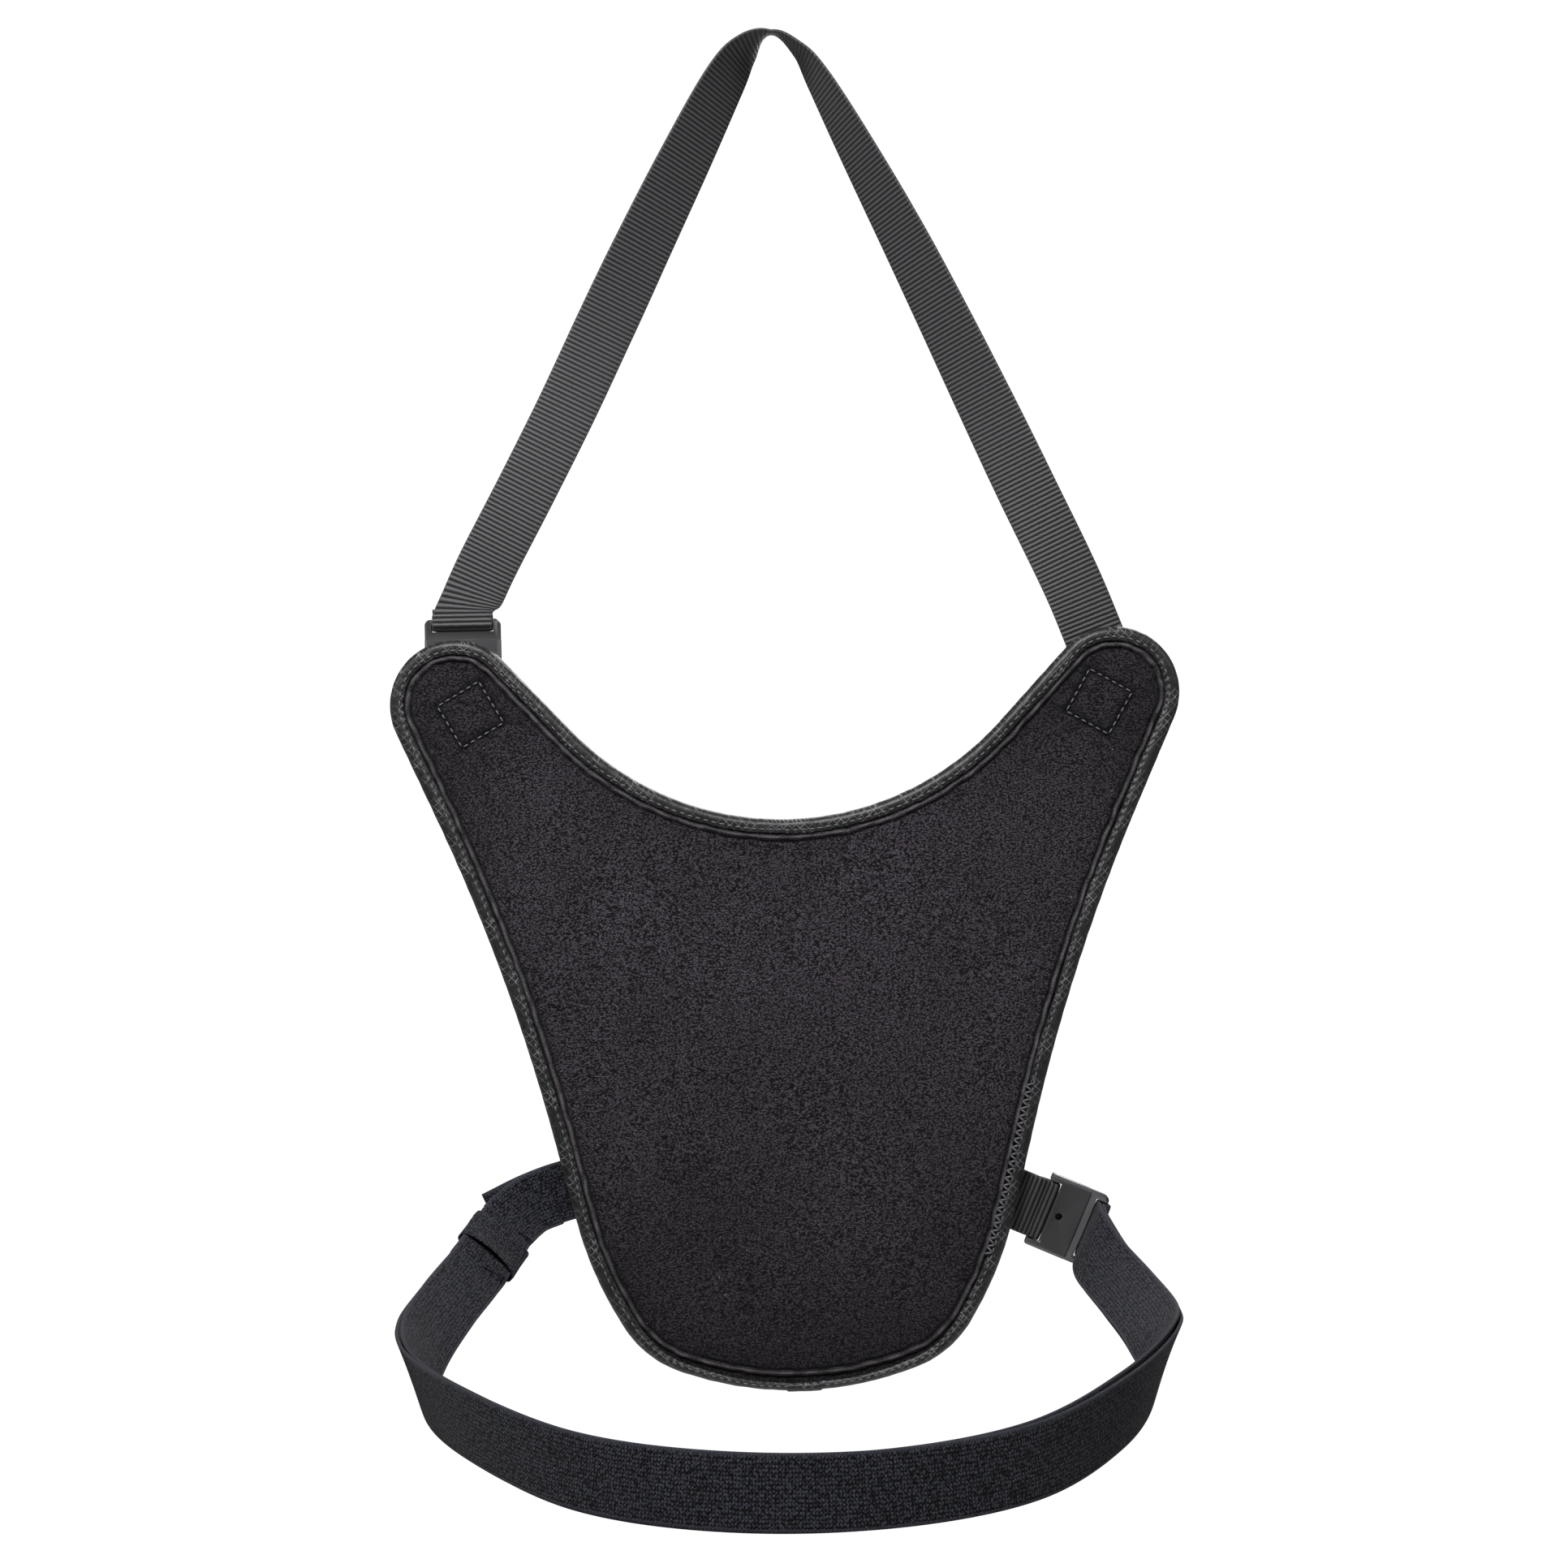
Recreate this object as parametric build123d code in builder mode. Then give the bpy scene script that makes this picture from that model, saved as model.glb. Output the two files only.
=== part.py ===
"""Padded harness sling: a bound V-shaped pad on a neck strap and an elastic waist belt.

Frame, in millimetres: X to the right of someone who looks at the lining, Y away from the
wearer, Z up. The origin is the underside of the neck strap at the top of its loop.
"""

from build123d import *
import os
from math import cos, radians, sin

os.makedirs("parts", exist_ok=True)

# ---- pad outline: half of its corners, from the neckline's bottom, and how each is rounded
NECKLINE_Z = -328.0
NECKLINE_CORNER_DOWN = 56.8
NECKLINE_RADIUS = 122.0
EAR_CORNER_X = 227.6
EAR_CORNER_UP = 187.2
EAR_RADIUS = 27.0
SIDE_X = 116.9
SIDE_DOWN = 60.3
SIDE_RADIUS = 800.0
HIP_X = 85.4
HIP_DOWN = 186.0
HIP_RADIUS = 150.0
FOOT_INWARD = 21.4
FOOT_BELOW_HIP = 37.1
FOOT_RADIUS = 45.0
HEEL_BELOW_FOOT = 21.3
HEEL_RADIUS = 140.0

# ---- pad layers, from the outer face towards the wearer
SHELL_Y = -3.0
SHELL_THICK = 1.0
FOAM_THICK = 5.0
LINING_THICK = 1.0
BINDING_THICK = 0.6
BINDING_WRAP = 5.5
BINDING_WALL = 0.8

# ---- webbing, elastic and thread
WEBBING_WIDTH = 25.0
WEBBING_THICK = 1.6
STITCH_SQUARE = 20.0
STITCH_BACK = 18.0
THREAD_WIDE = 0.6
THREAD_HIGH = 0.35
STITCH_TURN = 30.0
STITCH_INWARD = 6.5
STITCH_BELOW = 4.0

# ---- buckles: x runs along the strap from the seam, and the socket lies at negative x
BUCKLE_GAP = 0.4
SOCKET_LENGTH = 17.0
SOCKET_THICK = 7.6
SOCKET_RAIL = 2.75
SOCKET_BEVEL = 1.1
PLUG_THICK = 6.0
SEAM_GAP = 0.1
BAR_WIDE = 2.5
BAR_THICK = 3.0
SLOT_SIDE_CLEAR = 0.5
SOCKET_SLOT = 3.0
PLUG_SLOT = 2.8
PLUG_SHOULDER = 3.3
PLUG_CORNER = 2.5
POCKET_DEPTH = 9.9
POCKET_HIGH = 4.6
PRONG_CLEAR = 0.2
PRONG_LENGTH = 9.4
PRONG_ROOT = 1.0
PRONG_WIDE = 4.5
PRONG_THICK = 3.6
LATCH_WIDTH = 11.0
LATCH_THICK = 1.2
LATCH_N = 1.0
LATCH_HINGE_X = 1.6
LATCH_BARREL = 0.9
BARREL_CLEAR = 0.05
LATCH_SIDE_CLEAR = 0.3
LATCH_TIP = 9.3
CATCH_X = 5.7
CATCH_CLEAR = 0.2
WINDOW_WALL = 0.2
LATCH_PRESS_ROOM = 0.4
BUTTON_SUNK = 0.1
HOLE_RADIUS = 1.5
HOLE_X = 8.5
LOOP_CLEAR = 0.1
FOLD_RADIUS = 1.1
LAYER_GAP = 0.1
TAB_FLAT = 0.5
TAB_RAMP = 3.0
TAB_RAMP_RADIUS = 4.0
TAB_BACK_RAMP = 4.5
TAB_BACK_RADIUS = 3.0
NECK_FOLD_RADIUS = 1.6
NECK_FOLD_PAST_BAR = 1.0
NECK_FOLD_TAIL = 1.5
NECK_TAIL_RADII = [2.0, 1.5]
BELT_TAIL_RISE = 1.5
BELT_TAIL_STEP = 2.5
BELT_TAIL_RADII = [1.2, 1.0]

# ---- where the straps meet the pad and the buckles, and the ways they leave and arrive
STITCH_EDGE = 2.0
NECK_LEAD = (0.0, 0.0, 1.0)
NECK_TRAIL = (0.43, 0.0, -0.9028)
NECK_TUCK_SHARE = 0.69
BELT_LEAD = (-0.93, 0.0, -0.36)
BELT_TRAIL = (0.0, 1.0, 0.0)
ANCHOR_LEAD = (-0.996, 0.0, -0.088)
ANCHOR_TRAIL = (-0.906, 0.0, -0.423)
NECK_SEAM_ABOVE_EAR = 0.5
NECK_BUCKLE_INWARD = 2.8
NECK_TAB_REACH = 44.0
NECK_LOOP_REACH = 13.0
NECK_LEG_REACH = 10.0
BELT_SEAM_OUT = 32.1
BELT_SEAM_UP = 14.5
BELT_BUCKLE_DROOP = 24.0
BELT_TAB_REACH = 58.0
BELT_LOOP_DEPTH = 7.0
KEEPER_LENGTH = 20.0
KEEPER_WALL = 1.0
KEEPER_ROUND = 1.2
KEEPER_SIDE_CLEAR = 0.5
KEEPER_FACE_CLEAR = 0.45
STEPS = 4
EASE = 16.0

# ---- values that follow from the sizes above
BINDING_OUT_Y = SHELL_Y + BINDING_THICK
LINING_Y = SHELL_Y - SHELL_THICK - FOAM_THICK - LINING_THICK
STRAP_Y = BINDING_OUT_Y + WEBBING_THICK / 2
BUCKLE_Y = BINDING_OUT_Y + BUCKLE_GAP + SOCKET_THICK / 2
SLOT_WIDE = WEBBING_WIDTH + 2 * SLOT_SIDE_CLEAR
BUCKLE_WIDTH = SLOT_WIDE + 2 * SOCKET_RAIL
PLUG_LENGTH = SEAM_GAP + PLUG_SHOULDER + PLUG_SLOT + BAR_WIDE
LOOP_N = BAR_THICK / 2 + LOOP_CLEAR + WEBBING_THICK / 2
PLUG_SLOT_X = SEAM_GAP + PLUG_SHOULDER + PLUG_SLOT / 2
NECK_LEG_X = SEAM_GAP + PLUG_SHOULDER + LOOP_CLEAR + WEBBING_THICK / 2

# Corners of the whole outline and their radii, right half first.
RIGHT_OUTLINE = [
    (EAR_CORNER_X, EAR_CORNER_UP, EAR_RADIUS),
    (SIDE_X, -SIDE_DOWN, SIDE_RADIUS),
    (HIP_X, -HIP_DOWN, HIP_RADIUS),
    (HIP_X - FOOT_INWARD, -HIP_DOWN - FOOT_BELOW_HIP, FOOT_RADIUS),
]
LEFT_OUTLINE = [(-x, z, radius) for x, z, radius in reversed(RIGHT_OUTLINE)]
NECKLINE = [(0.0, -NECKLINE_CORNER_DOWN, NECKLINE_RADIUS)]
HEEL = [(0.0, -HIP_DOWN - FOOT_BELOW_HIP - HEEL_BELOW_FOOT, HEEL_RADIUS)]
OUTLINE = NECKLINE + RIGHT_OUTLINE + HEEL + LEFT_OUTLINE
OUTLINE_POINTS = [(x, z + NECKLINE_Z) for x, z, radius in OUTLINE]
OUTLINE_RADII = [radius for x, z, radius in OUTLINE]


def fillet_centre(before, corner, after, radius):
    """Centre of the arc that rounds a corner between two neighbours."""
    one = (Vector(*before) - Vector(*corner)).normalized()
    two = (Vector(*after) - Vector(*corner)).normalized()
    half_turn = radians(one.get_angle(two) / 2)
    return Vector(*corner) + (one + two).normalized() * (radius / sin(half_turn))


EAR = fillet_centre(OUTLINE_POINTS[0], OUTLINE_POINTS[1], OUTLINE_POINTS[2], EAR_RADIUS)


def upright(y):
    """The XZ plane at a depth y, facing the wearer."""
    return Plane.XZ.offset(-y)


def strap_plane(x, z, droop):
    """Buckle plane: its x runs along the strap, droop degrees below +X, and it faces +Y."""
    along = (cos(radians(droop)), 0, -sin(radians(droop)))
    return Plane(origin=(x, BUCKLE_Y, z), x_dir=along, z_dir=(0, 1, 0))


def side_of(base):
    """The plane of a buckle's side view: x along the strap, y away from the wearer."""
    return Plane(origin=base.origin, x_dir=base.x_dir, z_dir=-base.y_dir)


NECK_PLANE = strap_plane(
    NECK_BUCKLE_INWARD - EAR.X, EAR.Y + EAR_RADIUS + NECK_SEAM_ABOVE_EAR, -90.0
)
BELT_PLANE = strap_plane(
    HIP_X + BELT_SEAM_OUT, NECKLINE_Z - HIP_DOWN + BELT_SEAM_UP, BELT_BUCKLE_DROOP
)


# ---------------------------------------------------------------- the pad
def pad_layer(name, outer_y, thick):
    """One flat layer of the pad, cut to fit inside the binding."""
    with BuildPart() as layer:
        with BuildSketch(upright(outer_y)):
            with BuildLine():
                FilletPolyline(OUTLINE_POINTS, radius=OUTLINE_RADII, close=True)
            make_face()
            offset(amount=-BINDING_WALL)
        extrude(amount=thick)
    layer.part.label = name
    return layer.part


def edge_binding():
    """Tape folded round the pad's edge: a channel with one flap on each face."""
    channel_thick = SHELL_THICK + FOAM_THICK + LINING_THICK
    with BuildPart() as tape:
        with BuildSketch(upright(BINDING_OUT_Y)):
            with BuildLine():
                FilletPolyline(OUTLINE_POINTS, radius=OUTLINE_RADII, close=True)
            make_face()
        extrude(amount=channel_thick + 2 * BINDING_THICK)
        with BuildSketch(upright(SHELL_Y)):
            with BuildLine():
                FilletPolyline(OUTLINE_POINTS, radius=OUTLINE_RADII, close=True)
            make_face()
            offset(amount=-BINDING_WALL)
        extrude(amount=channel_thick, mode=Mode.SUBTRACT)
        with BuildSketch(upright(BINDING_OUT_Y)):
            with BuildLine():
                FilletPolyline(OUTLINE_POINTS, radius=OUTLINE_RADII, close=True)
            make_face()
            offset(amount=-BINDING_WRAP)
        extrude(amount=channel_thick + 2 * BINDING_THICK, mode=Mode.SUBTRACT)
    tape.part.label = "edge_binding"
    return tape.part


def box_stitch(name, plane, square):
    """Thread sewn round a square, proud of the cloth it stands on."""
    with BuildPart() as thread:
        with BuildSketch(plane):
            Rectangle(square, square)
            Rectangle(square - 2 * THREAD_WIDE, square - 2 * THREAD_WIDE, mode=Mode.SUBTRACT)
        extrude(amount=THREAD_HIGH)
    thread.part.label = name
    return thread.part


def stitch_plane(x, y, z, turn, facing):
    """A plane on a cloth face, turned in its own plane; facing is +1 away from the wearer."""
    tilt = radians(turn)
    return Plane(origin=(x, y, z), x_dir=(cos(tilt), 0, sin(tilt)), z_dir=(0, facing, 0))


# ---------------------------------------------------------------- straps as ribbons
def catmull_rom(a, b, c, d, t):
    """A smooth curve from b to c that passes through a, b, c and d in turn."""
    linear = (c - a) * t
    square = (a * 2 - b * 5 + c * 4 - d) * t**2
    cube = (b * 3 - a - c * 3 + d) * t**3
    return (b * 2 + linear + square + cube) * 0.5


def stations(route, lead, trail):
    """Places along a strap: point, unit vector across it and unit vector along it.

    The route is a list of (point, across). The strap leaves its first point along lead,
    reaches its last one along trail, and turns to and from them over the length EASE.
    """
    points = [Vector(*point) for point, across in route]
    acrosses = [Vector(*across).normalized() for point, across in route]
    first_run = (points[1] - points[0]).length
    last_run = (points[-1] - points[-2]).length
    points = [points[0] - Vector(*lead) * first_run] + points
    points = points + [points[-1] + Vector(*trail) * last_run]
    acrosses = [acrosses[0]] + acrosses + [acrosses[-1]]
    path = []
    turns = []
    for span in range(len(route) - 1):
        for step in range(STEPS):
            share = step / STEPS
            path.append(catmull_rom(*points[span : span + 4], share))
            turns.append(catmull_rom(*acrosses[span : span + 4], share))
    path.append(points[-2])
    turns.append(acrosses[-1])
    runs = [(after - before).length for before, after in zip(path, path[1:])]
    places = []
    for index, point in enumerate(path):
        before = path[max(index - 1, 0)]
        after = path[min(index + 1, len(path) - 1)]
        along = (after - before).normalized()
        for way, reached in ((lead, sum(runs[:index])), (trail, sum(runs[index:]))):
            near = min(reached / EASE, 1.0)
            ease = near * near * (3 - 2 * near)
            along = (Vector(*way) * (1 - ease) + along * ease).normalized()
        across = turns[index] - along * turns[index].dot(along)
        places.append((point, across.normalized(), along))
    return places


def ribbon(name, places, thick, shift):
    """A flat strap through the stations; shift moves it off the centre, through its face."""
    with BuildPart() as strap:
        for point, across, along in places:
            with BuildSketch(Plane(origin=point, x_dir=across, z_dir=along)):
                with Locations((0, shift)):
                    Rectangle(WEBBING_WIDTH, thick)
        loft(ruled=True)
    strap.part.label = name
    return strap.part


def folded_webbing(name, base, path, radii):
    """Webbing folded round a buckle bar: a side profile as wide as the webbing."""
    with BuildPart() as strap:
        with BuildSketch(side_of(base)):
            with BuildLine():
                FilletPolyline(path, radius=radii)
            trace(line_width=WEBBING_THICK)
        extrude(amount=WEBBING_WIDTH / 2, both=True)
    strap.part.label = name
    return strap.part


def webbing_tab(name, base, reach):
    """Short webbing sewn to the pad and looped round the bar of a socket."""
    low = STRAP_Y - BUCKLE_Y
    high = low + WEBBING_THICK + LAYER_GAP
    bar_end = -SOCKET_LENGTH
    turn_x = bar_end + BAR_WIDE + SOCKET_SLOT / 2
    flat_end = bar_end - TAB_FLAT
    path = [
        (-reach, low),
        (flat_end - TAB_RAMP, low),
        (flat_end, -LOOP_N),
        (turn_x, -LOOP_N),
        (turn_x, LOOP_N),
        (flat_end, LOOP_N),
        (flat_end - TAB_BACK_RAMP, high),
        (-reach, high),
    ]
    front = [TAB_RAMP_RADIUS, TAB_RAMP_RADIUS, FOLD_RADIUS]
    back = [FOLD_RADIUS, TAB_BACK_RADIUS, TAB_BACK_RADIUS]
    return folded_webbing(name, base, path, front + back)


# ---------------------------------------------------------------- buckle pieces
def buckle_socket(name, base):
    """Flat socket: a bar for the webbing, a pocket for the plug and a window for its catch."""
    inner_end = -SOCKET_LENGTH
    bar_in = inner_end + BAR_WIDE
    window_long = POCKET_DEPTH - CATCH_X + CATCH_CLEAR - WINDOW_WALL
    bar_step = (SOCKET_THICK - BAR_THICK) / 2
    with BuildPart() as socket:
        with BuildSketch(base.offset(-SOCKET_THICK / 2)):
            with Locations((inner_end / 2, 0)):
                Rectangle(SOCKET_LENGTH, BUCKLE_WIDTH)
        extrude(amount=SOCKET_THICK)
        rails = socket.edges().filter_by(Axis((0, 0, 0), base.x_dir))
        chamfer(rails, length=SOCKET_BEVEL)
        with BuildSketch(base.offset(-SOCKET_THICK / 2)):
            with Locations((bar_in + SOCKET_SLOT / 2, 0)):
                Rectangle(SOCKET_SLOT, SLOT_WIDE)
        extrude(amount=SOCKET_THICK, mode=Mode.SUBTRACT)
        for level in (-SOCKET_THICK / 2, BAR_THICK / 2):
            with BuildSketch(base.offset(level)):
                with Locations((inner_end + BAR_WIDE / 2, 0)):
                    Rectangle(BAR_WIDE, SLOT_WIDE)
            extrude(amount=bar_step, mode=Mode.SUBTRACT)
        with BuildSketch(base.offset(-POCKET_HIGH / 2)):
            with Locations((-POCKET_DEPTH / 2, 0)):
                Rectangle(POCKET_DEPTH, SLOT_WIDE)
        extrude(amount=POCKET_HIGH, mode=Mode.SUBTRACT)
        with BuildSketch(base.offset(POCKET_HIGH / 2)):
            with Locations((CATCH_CLEAR - CATCH_X - window_long / 2, 0)):
                Rectangle(window_long, LATCH_WIDTH + 2 * LATCH_SIDE_CLEAR)
        extrude(amount=SOCKET_THICK / 2 - POCKET_HIGH / 2, mode=Mode.SUBTRACT)
        with BuildSketch(base.offset(-SOCKET_THICK / 2)):
            with Locations((-HOLE_X, 0)):
                Circle(HOLE_RADIUS)
        extrude(amount=SOCKET_THICK / 2 - POCKET_HIGH / 2, mode=Mode.SUBTRACT)
    socket.part.label = name
    return socket.part


def buckle_plug(name, base):
    """Plug: a frame with a webbing slot and two guide prongs, grooved for the latch."""
    frame_long = PLUG_LENGTH - SEAM_GAP
    prong_y = SLOT_WIDE / 2 - PRONG_CLEAR - PRONG_WIDE / 2
    prong_long = PRONG_LENGTH + SEAM_GAP + PRONG_ROOT
    barrel_room = LATCH_BARREL + BARREL_CLEAR
    mouth_low = LATCH_N - LATCH_THICK / 2 - LATCH_PRESS_ROOM
    mouth_high = LATCH_N + LATCH_THICK / 2 + BARREL_CLEAR
    with BuildPart() as plug:
        with BuildSketch(base.offset(-PLUG_THICK / 2)) as outline:
            with Locations((SEAM_GAP + frame_long / 2, 0)):
                Rectangle(frame_long, BUCKLE_WIDTH)
            fillet(outline.vertices().group_by(Axis.X)[-1], radius=PLUG_CORNER)
        extrude(amount=PLUG_THICK)
        rims = plug.faces().filter_by(Axis.Y).edges()
        seam_rims = rims.sort_by(Axis((0, 0, 0), base.x_dir))[:2]
        chamfer([rim for rim in rims if rim not in seam_rims], length=SOCKET_BEVEL)
        with BuildSketch(base.offset(-PLUG_THICK / 2)):
            with Locations((PLUG_SLOT_X, 0)):
                Rectangle(PLUG_SLOT, SLOT_WIDE)
        extrude(amount=PLUG_THICK, mode=Mode.SUBTRACT)
        bar_step = (PLUG_THICK - BAR_THICK) / 2
        for level in (-PLUG_THICK / 2, BAR_THICK / 2):
            with BuildSketch(base.offset(level)):
                with Locations((PLUG_LENGTH - BAR_WIDE / 2, 0)):
                    Rectangle(BAR_WIDE, SLOT_WIDE)
            extrude(amount=bar_step, mode=Mode.SUBTRACT)
        with BuildSketch(base.offset(-PRONG_THICK / 2)):
            for side in (-1, 1):
                with Locations((prong_long / 2 - PRONG_LENGTH, side * prong_y)):
                    Rectangle(prong_long, PRONG_WIDE)
        extrude(amount=PRONG_THICK)
        with BuildSketch(side_of(base)):
            with Locations((LATCH_HINGE_X, LATCH_N)):
                Circle(barrel_room)
            with Locations((LATCH_HINGE_X / 2, (mouth_low + mouth_high) / 2)):
                Rectangle(LATCH_HINGE_X, mouth_high - mouth_low)
        extrude(amount=LATCH_WIDTH / 2 + LATCH_SIDE_CLEAR, both=True, mode=Mode.SUBTRACT)
    plug.part.label = name
    return plug.part


def buckle_latch(name, base):
    """Sprung lever with a press button that catches behind the window's front edge."""
    lever_long = LATCH_TIP + LATCH_HINGE_X
    button_long = LATCH_TIP - CATCH_X
    button_top = SOCKET_THICK / 2 - BUTTON_SUNK
    with BuildPart() as latch:
        with BuildSketch(side_of(base)):
            with Locations((LATCH_HINGE_X, LATCH_N)):
                Circle(LATCH_BARREL)
            with Locations((LATCH_HINGE_X - lever_long / 2, LATCH_N)):
                Rectangle(lever_long, LATCH_THICK)
            with Locations((-CATCH_X - button_long / 2, (LATCH_N + button_top) / 2)):
                Rectangle(button_long, button_top - LATCH_N)
        extrude(amount=LATCH_WIDTH / 2, both=True)
    latch.part.label = name
    return latch.part


# ---------------------------------------------------------------- neck strap
def neck_route():
    """Left plug, up over the neck and down to the right ear, as (point, across).

    Shares are of the way out and down to the ear's centre. The turn is how far the strap
    has twisted from lying across the neck, 0, to lying flat in the pad's plane, 90.
    """
    left = [
        (0.947, 0.838, 90.0),
        (0.892, 0.783, 90.0),
        (0.773, 0.675, 90.0),
        (0.646, 0.556, 88.0),
        (0.524, 0.434, 80.0),
        (0.403, 0.314, 66.0),
        (0.277, 0.193, 55.0),
        (0.147, 0.072, 41.0),
        (0.076, 0.022, 26.0),
    ]
    right = [
        (0.076, 0.022, 10.0),
        (0.144, 0.072, 22.0),
        (0.275, 0.196, 36.0),
        (0.401, 0.320, 47.0),
        (0.520, 0.444, 56.0),
        (0.636, 0.568, 66.0),
        (0.750, 0.691, 78.0),
        (0.880, 0.830, 90.0),
    ]
    tail = Vector(NECK_PLANE.from_local_coords((NECK_LEG_REACH, 0, -LOOP_N)))
    route = [((tail.X, tail.Y, tail.Z), (-1, 0, 0))]
    for out, down, turn in left:
        point = (-EAR.X * out, tail.Y * out, EAR.Y * down)
        route.append((point, twisted(-1, turn)))
    route.append(((0, 0, WEBBING_THICK / 2), twisted(1, 0.0)))
    for out, down, turn in right:
        point = (EAR.X * out, STRAP_Y * min(1.0, down / NECK_TUCK_SHARE), EAR.Y * down)
        route.append((point, twisted(1, turn)))
    route.append(((EAR.X * 0.960, STRAP_Y, EAR.Y * 0.930), twisted(1, 90.0)))
    route.append(((EAR.X * 1.040, STRAP_Y, EAR.Y * 1.030), twisted(1, 90.0)))
    return route


def twisted(side, turn):
    """Direction from the strap's inner edge to its outer edge on one side of the neck."""
    flat = Vector(side * 0.89, 0, 0.45)
    over = Vector(0, -0.98, -0.2)
    return tuple(flat * sin(radians(turn)) + over * cos(radians(turn)))


# ---------------------------------------------------------------- waist belt
def belt_route():
    """Both layers of the belt, from the left anchor round the front to the right plug."""
    left_x = -HIP_X
    low = NECKLINE_Z - HIP_DOWN
    tack_y = BINDING_OUT_Y - WEBBING_THICK
    end = Vector(BELT_PLANE.from_local_coords(
        (PLUG_SLOT_X + WEBBING_THICK / 2, 0, -BELT_LOOP_DEPTH)
    ))
    hold = (-0.5, 0.45, 0.75)
    run_start = Vector(left_x - 32.6, -16.0, low + 22.0)
    run_end = Vector(left_x - 43.0, -55.0, low + 8.5)
    route = [
        ((left_x - 15.6, tack_y, low + 31.5), (-0.2, 0, 1)),
        ((left_x - 24.6, tack_y - 2.0, low + 28.0), (-0.3, 0.1, 1)),
    ]
    for share in (0.0, 0.15, 0.5, 0.85, 1.0):
        point = run_start + (run_end - run_start) * share
        route.append(((point.X, point.Y, point.Z), hold))
    route += [
        ((left_x - 50.6, -88.0, low + 1.0), (-0.6, 0.40, 0.65)),
        ((left_x - 55.6, -127.0, low - 6.0), (-0.55, 0.30, 0.75)),
        ((left_x - 51.6, -170.0, low - 11.0), (-0.30, 0.05, 0.95)),
        ((left_x - 28.6, -222.0, low - 14.0), (-0.10, 0.0, 1.0)),
        ((left_x + 11.4, -264.0, low - 21.0), (0.0, 0.05, 1.0)),
        ((-25.0, -284.0, low - 24.0), (0.0, 0.10, 1.0)),
        ((28.0, -284.0, low - 24.4), (0.0, 0.10, 1.0)),
        ((end.X - 46.6, -264.0, low - 21.5), (0.0, 0.05, 1.0)),
        ((end.X - 12.6, -222.0, low - 15.0), (0.10, 0.0, 1.0)),
        ((end.X + 7.4, -170.0, low - 10.0), (0.35, 0.05, 0.93)),
        ((end.X + 10.4, -125.0, low - 6.0), (0.65, 0.30, 0.60)),
        ((end.X + 6.4, -80.0, low - 1.0), (0.72, 0.25, 0.58)),
        ((end.X + 0.6, -42.0, low + 5.0), (0.68, 0.10, 0.66)),
        ((end.X - 1.2, -19.0, low + 10.5), (0.52, 0.0, 0.85)),
        ((end.X, end.Y, end.Z), tuple(-BELT_PLANE.y_dir)),
    ]
    return route


def anchor_route():
    """Elastic stub on the left, from under its stitches to its free cut end."""
    left_x = -HIP_X
    low = NECKLINE_Z - HIP_DOWN
    points = [
        (left_x + 24.0, low + 37.5),
        (left_x + 7.0, low + 36.0),
        (left_x - 9.0, low + 33.5),
        (left_x - 24.0, low + 28.5),
        (left_x - 40.0, low + 21.0),
    ]
    return [((x, STRAP_Y, z), (-0.3, 0, 1)) for x, z in points]


def belt_keeper(places):
    """Elastic sleeve that slides on both layers of the belt."""
    point, across, along = places
    inner_wide = WEBBING_WIDTH + 2 * KEEPER_SIDE_CLEAR
    inner_thick = 2 * WEBBING_THICK + 2 * KEEPER_FACE_CLEAR
    with BuildPart() as sleeve:
        with BuildSketch(Plane(origin=point, x_dir=across, z_dir=along)):
            RectangleRounded(inner_wide + 2 * KEEPER_WALL, inner_thick + 2 * KEEPER_WALL, KEEPER_ROUND)
            Rectangle(inner_wide, inner_thick, mode=Mode.SUBTRACT)
        extrude(amount=KEEPER_LENGTH)
    sleeve.part.label = "belt_keeper"
    return sleeve.part


# ---------------------------------------------------------------- assembly
pieces = []

foam_y = SHELL_Y - SHELL_THICK
pieces.append(pad_layer("outer_shell", SHELL_Y, SHELL_THICK))
pieces.append(pad_layer("foam_core", foam_y, FOAM_THICK))
pieces.append(pad_layer("lining_panel", foam_y - FOAM_THICK, LINING_THICK))
pieces.append(edge_binding())

for side, word in ((-1, "left"), (1, "right")):
    plane = stitch_plane(
        side * (EAR.X - STITCH_INWARD), LINING_Y, EAR.Y - STITCH_BELOW, -side * STITCH_TURN, -1
    )
    pieces.append(box_stitch(f"{word}_ear_stitch", plane, STITCH_SQUARE))

for word, base in (("neck", NECK_PLANE), ("belt", BELT_PLANE)):
    pieces.append(buckle_socket(f"{word}_socket", base))
    pieces.append(buckle_plug(f"{word}_plug", base))
    pieces.append(buckle_latch(f"{word}_latch", base))

NECK_JOIN = 3 * STEPS
neck_places = stations(neck_route(), NECK_LEAD, NECK_TRAIL)
pieces.append(ribbon("neck_strap", neck_places[NECK_JOIN:], WEBBING_THICK, 0.0))
pieces.append(ribbon("neck_strap_end", neck_places[: NECK_JOIN + 1], WEBBING_THICK, 0.0))
neck_tail_n = WEBBING_THICK + LAYER_GAP - LOOP_N
neck_fold = [
    (NECK_LEG_REACH, -LOOP_N),
    (NECK_LEG_X, -LOOP_N),
    (NECK_LEG_X, LOOP_N),
    (PLUG_LENGTH + NECK_FOLD_PAST_BAR, LOOP_N),
    (NECK_LOOP_REACH - NECK_FOLD_TAIL, neck_tail_n),
    (NECK_LOOP_REACH, neck_tail_n),
]
neck_fold_radii = [NECK_FOLD_RADIUS, NECK_FOLD_RADIUS] + NECK_TAIL_RADII
pieces.append(folded_webbing("neck_loop", NECK_PLANE, neck_fold, neck_fold_radii))

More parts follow.
